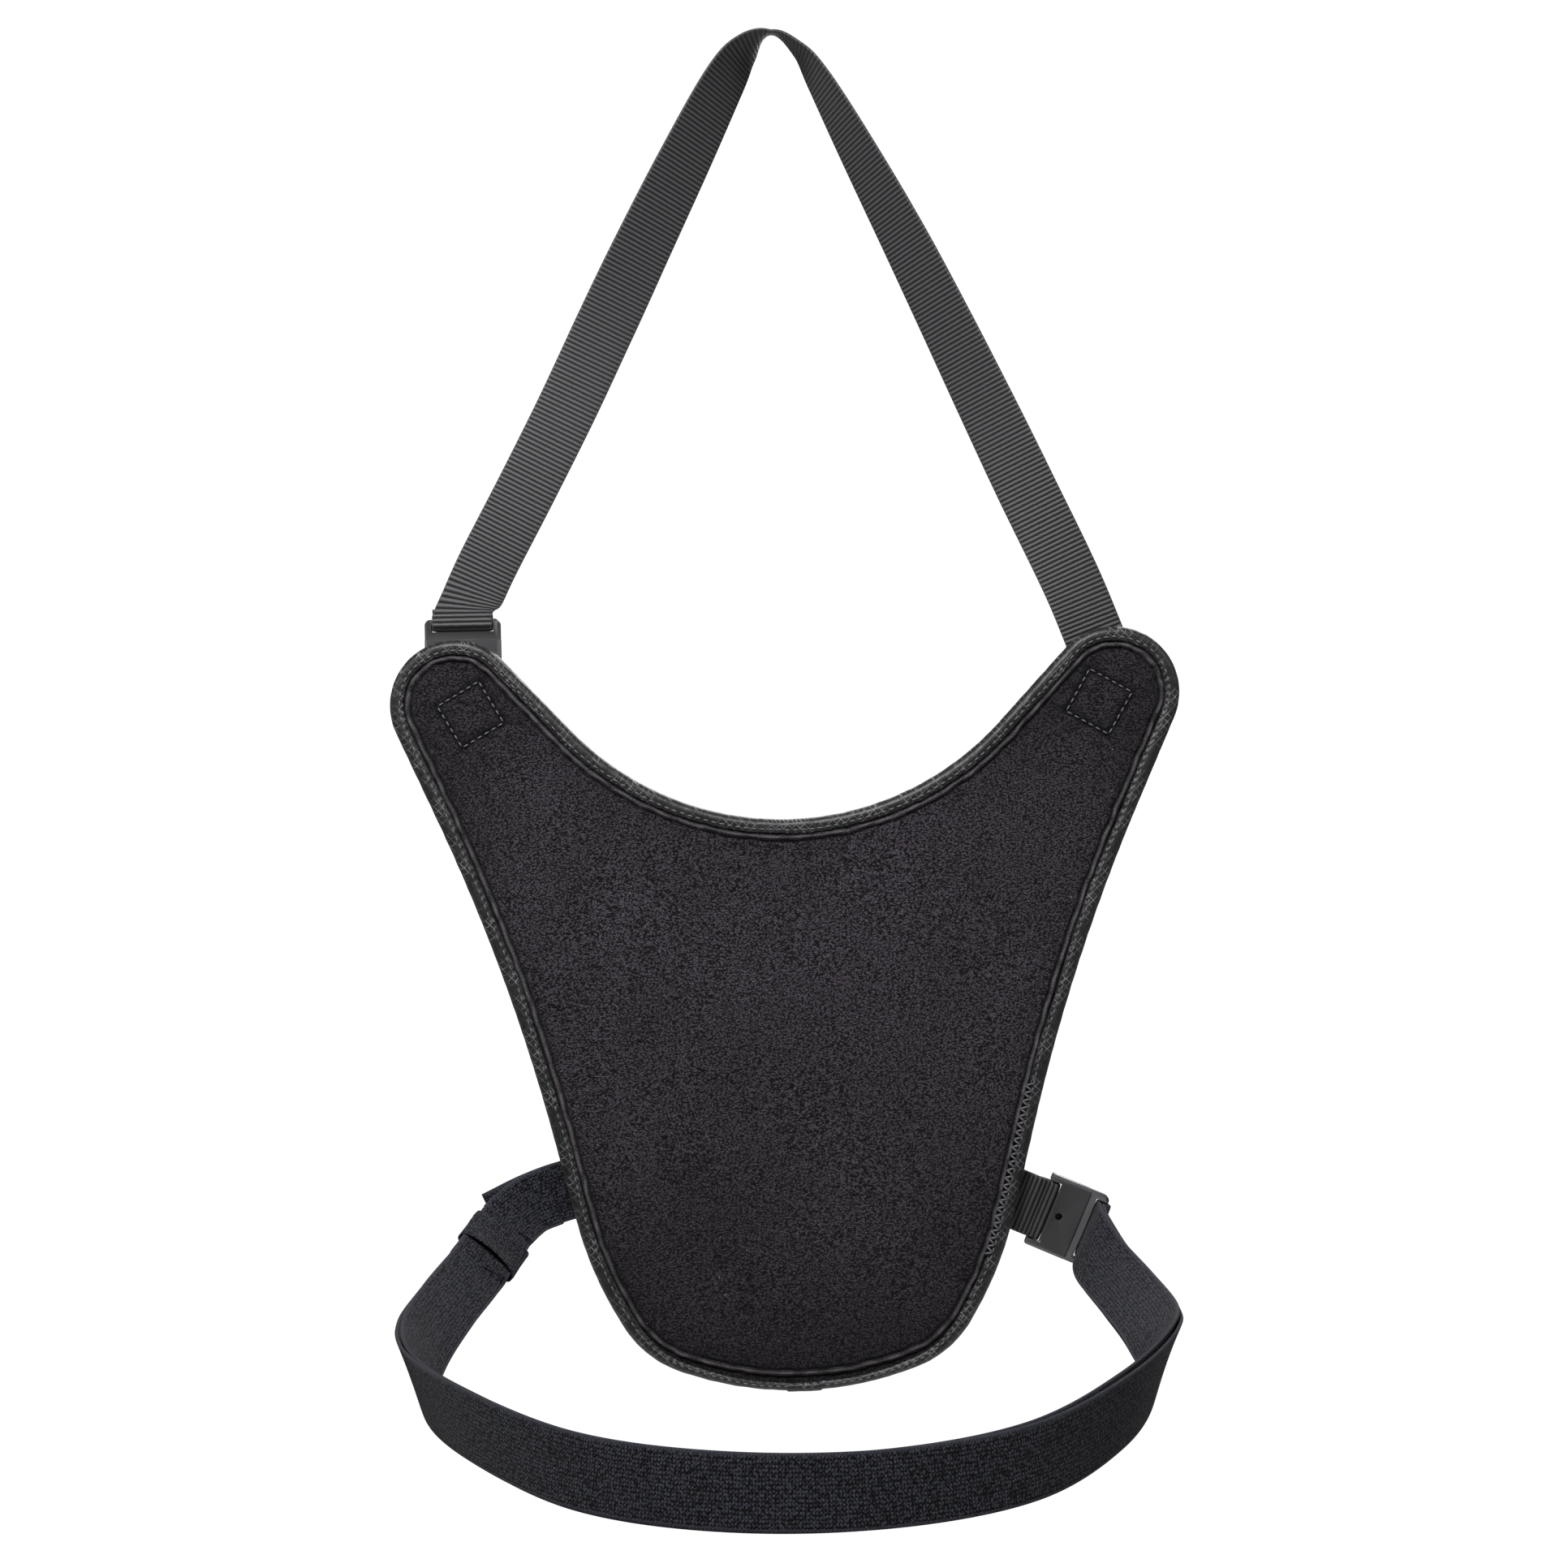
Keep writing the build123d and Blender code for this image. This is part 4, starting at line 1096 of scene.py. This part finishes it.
# ---------------------------------------------------------------- straps
def smooth_route(route, lead, trail):
    """Points and their frame along a Catmull-Rom curve through a route's places.

    The route is a list of (point in mm, across). Ghost points one run beyond each end, along
    lead and trail, settle how the strap leaves and arrives.
    """
    points = np.array([point for point, across in route], dtype=float) * MM
    turns = unit(np.array([across for point, across in route], dtype=float))
    first_run = np.linalg.norm(points[1] - points[0])
    last_run = np.linalg.norm(points[-1] - points[-2])
    before = points[:1] - np.array(lead) * first_run
    after = points[-1:] + np.array(trail) * last_run
    points = np.concatenate([before, points, after])
    turns = np.concatenate([turns[:1], turns, turns[-1:]])
    share = np.linspace(0, 1, STEPS, endpoint=False)[None, :, None]

    def curve(values):
        a, b, c, d = (values[k : len(values) - 3 + k, None, :] for k in range(4))
        square = (2 * a - 5 * b + 4 * c - d) * share**2
        cube = (3 * b - a - 3 * c + d) * share**3
        made = 0.5 * (2 * b + (c - a) * share + square + cube)
        return np.concatenate([made.reshape(-1, 3), values[-2:-1]])

    path = curve(points)
    return path, strap_frame(path, curve(turns), lead, trail)


def strap_frame(path, across, lead=None, trail=None):
    """Unit vectors along, across and out of a strap's face at each point of its path.

    Over the length EASE at each end the way along eases from lead and to trail.
    """
    ahead = unit(np.gradient(path, axis=0))
    steps = np.linalg.norm(np.diff(path, axis=0), axis=1)
    run = np.concatenate([[0.0], np.cumsum(steps)])
    for way, reached in ((lead, run), (trail, run[-1] - run)):
        if way is not None:
            near = np.clip(reached / EASE, 0, 1)[:, None]
            near = near * near * (3 - 2 * near)
            ahead = unit(np.array(way) * (1 - near) + ahead * near)
    side = unit(across - ahead * (across * ahead).sum(1, keepdims=True))
    return ahead, side, np.cross(ahead, side)


def strap_piece(name, path, turned, material, lift=0.0, shift=0.0, keep=slice(None)):
    """A flat strap with rounded selvedges along a path, turned by its frame.

    Its section is a superellipse, |x|^4 + |y|^6 = 1 scaled to half the width and half the
    thickness. lift moves it out of its face and shift along its width, by point, and keep
    picks the points that are made. The attribute weave holds millimetres across and along,
    and which face a point is on.
    """
    side, out = turned[1:]
    centre = path + out * np.broadcast_to(lift, len(path))[:, None]
    centre = centre + side * np.broadcast_to(shift, len(path))[:, None]
    steps = np.linalg.norm(np.diff(path, axis=0), axis=1)
    along = np.concatenate([[0.0], np.cumsum(steps)])[keep] / MM
    angle = np.linspace(0, 2 * np.pi, 44, endpoint=False) + np.pi / 44
    wide = np.sign(np.cos(angle)) * np.abs(np.cos(angle)) ** 0.5
    high = np.sign(np.sin(angle)) * np.abs(np.sin(angle)) ** 0.35
    section_x = wide * WEBBING_WIDTH / 2
    section_y = high * WEBBING_THICK / 2
    points = (
        centre[keep][:, None, :]
        + side[keep][:, None, :] * section_x[None, :, None]
        + out[keep][:, None, :] * section_y[None, :, None]
    )
    rows, columns = len(along), len(angle)
    weave = np.stack(
        [
            np.tile(section_x / MM, (rows, 1)),
            np.tile(along[:, None], (1, columns)),
            np.tile(np.sign(high) * 20.0, (rows, 1)),
        ],
        axis=-1,
    )
    faces = grid_faces(rows, columns, closed_columns=True).tolist()
    faces.append(list(range(columns))[::-1])
    faces.append(list(range((rows - 1) * columns, rows * columns)))
    made = make_piece(name, points, faces, material, weave.reshape(-1, 3))
    crease(made, 60)
    return made


def fold_path(base, ahead, corners_mm, radii_mm):
    """A side profile of folded webbing as points in space, and their frame.

    The corners are (along the buckle, away from the wearer), each rounded by a tangent arc,
    and the buckle's plane is a base point and its direction.
    """
    corners = np.array(corners_mm, dtype=float)
    arcs = tangent_arcs(corners[:-2], corners[1:-1], corners[2:], np.array(radii_mm), 9)
    path = np.concatenate([corners[:1], arcs, corners[-1:]])
    length = np.linalg.norm(np.diff(path, axis=0), axis=1).sum()
    path = resample(path, int(length / 0.35) + 2) * MM
    ahead = np.array(ahead, dtype=float)
    out = np.array([0.0, 1.0, 0.0])
    points = np.array(base) + path[:, :1] * ahead + path[:, 1:] * out
    across = np.tile(np.cross(ahead, out), (len(points), 1))
    return points, strap_frame(points, across)


def seam_point(socket, ahead):
    """Middle of a socket's open end, from its box in the frame."""
    low, high = (np.array(corner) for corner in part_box(socket))
    return (low + high) / 2 + ahead * SOCKET_LENGTH_MM * MM / 2


def neck_route(base):
    """Path and frame of the neck strap, from its plug on the left over the top to the right ear."""
    foot = base / MM + NECK_AHEAD * NECK_LEG_REACH_MM + np.array([0.0, -LOOP_MM, 0.0])
    tail_y = foot[1]
    left = [
        (0.947, 0.838, 90.0),
        (0.892, 0.783, 90.0),
        (0.773, 0.675, 90.0),
        (0.646, 0.556, 88.0),
        (0.524, 0.434, 80.0),
        (0.403, 0.314, 66.0),
        (0.277, 0.193, 55.0),
        (0.147, 0.072, 41.0),
        (0.076, 0.022, 26.0),
    ]
    right = [
        (0.076, 0.022, 10.0),
        (0.144, 0.072, 22.0),
        (0.275, 0.196, 36.0),
        (0.401, 0.320, 47.0),
        (0.520, 0.444, 56.0),
        (0.636, 0.568, 66.0),
        (0.750, 0.691, 78.0),
        (0.880, 0.830, 90.0),
        (0.960, 0.930, 90.0),
        (1.040, 1.030, 90.0),
    ]
    strap_y = STRAP_Y / MM
    route = [(tuple(foot), (-1.0, 0.0, 0.0))]
    for out, down, turn in left:
        route.append(((-EAR_MM[0] * out, tail_y * out, EAR_MM[1] * down), twisted(-1, turn)))
    route.append(((0.0, 0.0, 0.8), twisted(1, 0.0)))
    for out, down, turn in right:
        depth = strap_y * min(1.0, down / 0.69)
        route.append(((EAR_MM[0] * out, depth, EAR_MM[1] * down), twisted(1, turn)))
    return smooth_route(route, (0, 0, 1), STRAP_DOWN)


def twisted(side, turn):
    """The strap's outer edge as a direction: over the neck at 0 degrees, in the pad's plane at 90."""
    flat = np.array([side * 0.89, 0.0, 0.45])
    over = np.array([0.0, -0.98, -0.2])
    return flat * np.sin(np.radians(turn)) + over * np.cos(np.radians(turn))


def belt_route():
    """Path and frame of the belt, from the left anchor round the front to the right plug."""
    left_x = -HIP_X_MM
    low = HIP_Z_MM
    end = (seam_point("belt_socket", BELT_AHEAD) / MM) + BELT_AHEAD * (PLUG_SLOT_MM + 0.8)
    end = end + np.array([0.0, -BELT_FOLD_BACK_MM, 0.0])
    hold = (-0.5, 0.45, 0.75)
    run_start = np.array([left_x - 32.6, -16.0, low + 22.0])
    run_end = np.array([left_x - 43.0, -55.0, low + 8.5])
    route = [
        ((left_x - 15.6, -4.0, low + 31.5), (-0.2, 0, 1)),
        ((left_x - 24.6, -6.0, low + 28.0), (-0.3, 0.1, 1)),
    ]
    for share in (0.0, 0.15, 0.5, 0.85, 1.0):
        route.append((tuple(run_start + (run_end - run_start) * share), hold))
    route += [
        ((left_x - 50.6, -88.0, low + 1.0), (-0.6, 0.40, 0.65)),
        ((left_x - 55.6, -127.0, low - 6.0), (-0.55, 0.30, 0.75)),
        ((left_x - 51.6, -170.0, low - 11.0), (-0.30, 0.05, 0.95)),
        ((left_x - 28.6, -222.0, low - 14.0), (-0.10, 0.0, 1.0)),
        ((left_x + 11.4, -264.0, low - 21.0), (0.0, 0.05, 1.0)),
        ((-25.0, -284.0, low - 24.0), (0.0, 0.10, 1.0)),
        ((28.0, -284.0, low - 24.4), (0.0, 0.10, 1.0)),
        ((end[0] - 46.6, -264.0, low - 21.5), (0.0, 0.05, 1.0)),
        ((end[0] - 12.6, -222.0, low - 15.0), (0.10, 0.0, 1.0)),
        ((end[0] + 7.4, -170.0, low - 10.0), (0.35, 0.05, 0.93)),
        ((end[0] + 10.4, -125.0, low - 6.0), (0.65, 0.30, 0.60)),
        ((end[0] + 6.4, -80.0, low - 1.0), (0.72, 0.25, 0.58)),
        ((end[0] + 0.6, -42.0, low + 5.0), (0.68, 0.10, 0.66)),
        ((end[0] - 1.2, -19.0, low + 10.5), (0.52, 0.0, 0.85)),
        (tuple(end), (0.406737, 0.0, 0.913545)),
    ]
    return smooth_route(route, (-0.93, 0, -0.36), (0, 1, 0))


def anchor_route():
    """Path and frame of the elastic stub on the left, from its stitches to its cut end."""
    left_x = -HIP_X_MM
    low = HIP_Z_MM
    places = [(24.0, 37.5), (7.0, 36.0), (-9.0, 33.5), (-24.0, 28.5), (-40.0, 21.0)]
    strap_y = STRAP_Y / MM
    route = [((left_x + out, strap_y, low + up), (-0.3, 0, 1)) for out, up in places]
    return smooth_route(route, STUB_AWAY, (-0.906, 0, -0.423))


class SLING_OT_neck_strap(bpy.types.Operator):
    """Makes the neck strap, its fold round the plug and its tab below the socket."""

    bl_idname = "sling.neck_strap"
    bl_label = "Neck strap"

    def execute(self, context):
        base = seam_point("neck_socket", NECK_AHEAD)
        leg, leg_turned = neck_route(base)
        corners = [
            (NECK_TAIL_REACH_MM, LAYER_MM - LOOP_MM),
            (NECK_TAIL_REACH_MM - 1.5, LAYER_MM - LOOP_MM),
            (PLUG_END_MM + 1.0, LOOP_MM),
            (NECK_LEG_MM, LOOP_MM),
            (NECK_LEG_MM, -LOOP_MM),
            (NECK_LEG_REACH_MM, -LOOP_MM),
        ]
        fold, fold_turned = fold_path(base, NECK_AHEAD, corners, [1.5, 2.0, 1.6, 1.6])
        path = np.concatenate([fold[:-1], leg])
        turned = [np.concatenate([a[:-1], b]) for a, b in zip(fold_turned, leg_turned)]
        strap = strap_piece("neck_webbing", path, turned, ribbed_webbing())
        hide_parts("neck_strap", "neck_strap_end", "neck_loop")
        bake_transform(strap)
        make_tab("neck_tab_webbing", "neck_tab", base, NECK_AHEAD, NECK_TAB_REACH_MM)
        return {"FINISHED"}


def make_tab(name, node, base, ahead, reach):
    """Webbing looped round a socket's bar, with both legs sewn to the cover."""
    high = TAB_LOW_MM + LAYER_MM
    bar = -SOCKET_LENGTH_MM
    turn = bar + 4.0
    corners = [
        (-reach, TAB_LOW_MM),
        (bar - 3.5, TAB_LOW_MM),
        (bar - 0.5, -LOOP_MM),
        (turn, -LOOP_MM),
        (turn, LOOP_MM),
        (bar - 0.5, LOOP_MM),
        (bar - 5.0, high),
        (-reach, high),
    ]
    path, side = fold_path(base, ahead, corners, [4.0, 4.0, 1.1, 1.1, 3.0, 3.0])
    tab = strap_piece(name, path, side, ribbed_webbing())
    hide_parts(node)
    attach(tab, "harness")


class SLING_OT_belt(bpy.types.Operator):
    """Makes the two layers of the waist belt, its anchor, its fold and its tab."""

    bl_idname = "sling.belt"
    bl_label = "Waist belt"

    def execute(self, context):
        path, turned = belt_route()
        elastic = woven_elastic()
        join = len(path) - 1 - 3 * STEPS
        share = np.linspace(0, 1, len(path))
        part = 0.5 + 0.5 * np.cos(2 * np.pi * np.clip(share * 2 - 0.5, -0.5, 1.5))
        gap = 0.00008 + 0.0007 * np.sin(np.pi * share) ** 0.5 * part
        slip = 0.0007 * np.sin(np.pi * share) * ripple(share, 0.45, 61)
        half = WEBBING_THICK / 2
        lifts = {"outer": np.full(len(path), half), "inner": -half - gap}
        slips = {"outer": np.zeros(len(path)), "inner": slip}
        nodes = {"outer": "belt_band", "inner": "belt_return"}
        for word, lift in lifts.items():
            main, tail = slice(0, join + 1), slice(join, None)
            layer = strap_piece(
                f"belt_{word}_layer", path, turned, elastic, lift, slips[word], keep=main
            )
            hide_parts(nodes[word])
            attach(layer, "harness")
            end = strap_piece(
                f"belt_{word}_end", path, turned, elastic, lift, slips[word], keep=tail
            )
            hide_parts("belt_strap_end")
            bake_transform(end)
        base = seam_point("belt_socket", BELT_AHEAD)
        outer_leg = PLUG_SLOT_MM + 2 * LOOP_MM
        inner_leg = PLUG_SLOT_MM + LAYER_MM
        corners = [
            (PLUG_SLOT_MM, -BELT_FOLD_BACK_MM),
            (PLUG_SLOT_MM, LOOP_MM),
            (outer_leg, LOOP_MM),
            (outer_leg, 1.5 - 2 * LOOP_MM),
            (inner_leg, -4.5),
            (inner_leg, -BELT_FOLD_BACK_MM),
        ]
        fold, side = fold_path(base, BELT_AHEAD, corners, [1.1, 1.1, 1.2, 1.0])
        loop = strap_piece("belt_fold", fold, side, elastic)
        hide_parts("belt_loop")
        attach(loop, "belt_plug_body")
        stub, side = anchor_route()
        anchor = strap_piece("belt_stub", stub, side, elastic)
        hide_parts("belt_anchor")
        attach(anchor, "harness")
        make_tab("belt_tab_webbing", "belt_tab", base, BELT_AHEAD, BELT_TAB_REACH_MM)
        return {"FINISHED"}


class SLING_OT_keeper(bpy.types.Operator):
    """Makes the elastic sleeve that slides on the belt."""

    bl_idname = "sling.keeper"
    bl_label = "Belt keeper"

    def execute(self, context):
        sizes = context.scene.sling_sizes
        path, (ahead, side, out) = belt_route()
        start = 3 * STEPS + STEPS // 4
        along = ahead[4 * STEPS]
        angle = np.linspace(0, 2 * np.pi, KEEPER_SIDES, endpoint=False)
        wide = np.sign(np.cos(angle)) * np.abs(np.cos(angle)) ** 0.35
        high = np.sign(np.sin(angle)) * np.abs(np.sin(angle)) ** 0.5
        # Each row is (share of the length, half width, half thickness) in mm, out and back.
        rows = np.array(
            [
                (0.00, 13.3, 2.60), (0.02, 13.9, 3.05), (0.07, 14.0, 3.20), (0.12, 13.9, 3.05),
                (0.30, 13.9, 3.00), (0.50, 13.8, 2.95), (0.70, 13.9, 3.00), (0.88, 13.9, 3.05),
                (0.93, 14.0, 3.20), (0.98, 13.9, 3.05), (1.00, 13.3, 2.60), (0.96, 13.1, 2.25),
                (0.50, 13.0, 2.15), (0.04, 13.1, 2.25), (0.00, 13.3, 2.60),
            ]
        )
        place = path[start] + along * (rows[:, :1] * sizes.keeper_length)
        width = rows[:, 1:2] * MM * wide[None]
        depth = rows[:, 2:3] * MM * high[None]
        # The lower mouth gapes on one side, most at mid width.
        gape = np.clip((rows[:, :1] - 0.45) / 0.55, 0, 1) ** 1.5
        bulge = np.cos(np.clip(wide[None], -1, 1) * np.pi / 2) * np.where(high < 0, 1.0, 0.0)
        depth = depth - KEEPER_GAPE * gape * bulge
        points = (
            place[:, None, :]
            + side[start][None, None] * width[..., None]
            + out[start][None, None] * depth[..., None]
        )
        arc = np.cumsum(np.abs(np.diff(rows[:, 0], prepend=0.0))) * sizes.keeper_length / MM
        weave = np.stack(
            [
                np.tile((arc - KEEPER_WEAVE_MIDDLE)[:, None], (1, KEEPER_SIDES)),
                np.tile(((wide + high * 0.2) * 13.5)[None], (len(rows), 1)),
                np.tile(np.sign(high)[None] * 20.0, (len(rows), 1)),
            ],
            axis=-1,
        )
        faces = grid_faces(len(rows), KEEPER_SIDES, closed_columns=True)
        sleeve = make_piece(
            "belt_sleeve", points, faces.tolist(), woven_elastic(), weave.reshape(-1, 3)
        )
        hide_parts("belt_keeper")
        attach(sleeve, "keeper_body")
        return {"FINISHED"}


class SLING_OT_buckles(bpy.types.Operator):
    """Finishes the moulded buckle pieces with rounded edges and their plastic."""

    bl_idname = "sling.buckles"
    bl_label = "Buckles"

    def execute(self, context):
        acetal = moulded_acetal()
        for word in ("neck", "belt"):
            for kind in ("socket", "plug", "latch"):
                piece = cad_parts[f"{word}_{kind}"]
                piece.data.materials.clear()
                piece.data.materials.append(acetal)
                weld = piece.modifiers.new("weld", "WELD")
                weld.merge_threshold = 0.00002
                bevel = piece.modifiers.new("bevel", "BEVEL")
                bevel.width = 0.00035
                bevel.segments = 2
                bevel.limit_method = "ANGLE"
                bevel.angle_limit = np.radians(35)
                bevel.harden_normals = False
        return {"FINISHED"}


# ---------------------------------------------------------------- stage
def place_light(name, where, target, size, power):
    """Adds a square area light that faces a point."""
    lamp = bpy.data.lights.new(name, "AREA")
    lamp.size = size
    lamp.energy = power
    made = bpy.data.objects.new(name, lamp)
    bpy.context.scene.collection.objects.link(made)
    aim(made, where, target)


def aim(thing, where, target, roll=0.0):
    """Puts a camera or light somewhere and turns its -Z to a point, then rolls it."""
    back = unit(np.array(where, dtype=float) - np.array(target, dtype=float))
    right = unit(np.cross([0.0, 0.0, 1.0], back))
    up = np.cross(back, right)
    turned_right = right * np.cos(roll) + up * np.sin(roll)
    turned_up = up * np.cos(roll) - right * np.sin(roll)
    matrix = np.eye(4)
    matrix[:3, 0] = turned_right
    matrix[:3, 1] = turned_up
    matrix[:3, 2] = back
    matrix[:3, 3] = where
    thing.matrix_world = matrix.T.tolist()


class SLING_OT_stage(bpy.types.Operator):
    """Makes the floor, the lights and the camera."""

    bl_idname = "sling.stage"
    bl_label = "Stage"

    def execute(self, context):
        scene = context.scene
        angle = np.linspace(0, 2 * np.pi, 96, endpoint=False)
        rings = np.array([0.0, 0.6, 1.2, 1.7])
        level = CAD_BOX[0][2] - FLOOR_DROP
        spots = np.stack(
            [
                rings[:, None] * np.cos(angle),
                rings[:, None] * np.sin(angle),
                np.full((len(rings), len(angle)), level),
            ],
            axis=-1,
        )
        faces = grid_faces(len(rings), len(angle), closed_columns=True)
        floor = make_piece("studio_floor", spots, faces.tolist(), studio_floor())
        world = bpy.data.worlds.new("studio")
        world.use_nodes = True
        tree = world.node_tree
        sky = tree.nodes["Background"]
        sky.inputs["Color"].default_value = (1, 1, 1, 1)
        seen = add_node(tree, "LightPath").outputs["Is Camera Ray"]
        strength = add_node(tree, "MapRange", {0: seen, 3: WORLD_GLOW, 4: WORLD_SEEN})
        tree.links.new(live(strength), sky.inputs["Strength"])
        scene.world = world
        for name, where, size, power in LIGHTS:
            place_light(name, where, LIT_MIDDLE, size, power)
        camera_data = bpy.data.cameras.new("view")
        camera = bpy.data.objects.new("view", camera_data)
        scene.collection.objects.link(camera)
        middle = np.array(VIEW_MIDDLE)
        camera_data.sensor_width = 36.0
        camera_data.lens = camera_data.sensor_width * VIEW_DISTANCE / VIEW_WIDTH
        camera_data.clip_start = 0.05
        camera_data.clip_end = 30.0
        aim(camera, middle - np.array([0.0, VIEW_DISTANCE, 0.0]), middle, VIEW_ROLL)
        scene.camera = camera
        scene.view_settings.view_transform = "Standard"
        return {"FINISHED"}


class SLING_PT_panel(bpy.types.Panel):
    """Lists the sling's sizes, colours and building steps."""

    bl_label = "Harness sling"
    bl_idname = "SLING_PT_panel"
    bl_space_type = "VIEW_3D"
    bl_region_type = "UI"
    bl_category = "Sling"

    def draw(self, context):
        layout = self.layout
        for group in (context.scene.sling_sizes, context.scene.sling_colours):
            box = layout.box()
            for name in group.__annotations__:
                box.prop(group, name)
        for operator in OPERATORS:
            layout.operator(operator.bl_idname)


OPERATORS = (
    SLING_OT_stage,
    SLING_OT_pad,
    SLING_OT_binding,
    SLING_OT_stitches,
    SLING_OT_neck_strap,
    SLING_OT_belt,
    SLING_OT_keeper,
    SLING_OT_buckles,
)
CLASSES = (SlingSizes, SlingColours, *OPERATORS, SLING_PT_panel)


def register():
    """Adds the classes and the scene's properties."""
    for item in CLASSES:
        bpy.utils.register_class(item)
    bpy.types.Scene.sling_sizes = bpy.props.PointerProperty(type=SlingSizes)
    bpy.types.Scene.sling_colours = bpy.props.PointerProperty(type=SlingColours)


def unregister():
    """Takes them away again."""
    del bpy.types.Scene.sling_colours
    del bpy.types.Scene.sling_sizes
    for item in reversed(CLASSES):
        bpy.utils.unregister_class(item)


def main():
    """Builds the whole sling on the loaded frame."""
    register()
    bpy.ops.sling.stage()
    bpy.ops.sling.pad()
    bpy.ops.sling.binding()
    bpy.ops.sling.stitches()
    bpy.ops.sling.neck_strap()
    bpy.ops.sling.belt()
    bpy.ops.sling.keeper()
    bpy.ops.sling.buckles()
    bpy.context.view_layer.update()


if __name__ == "__main__":
    main()
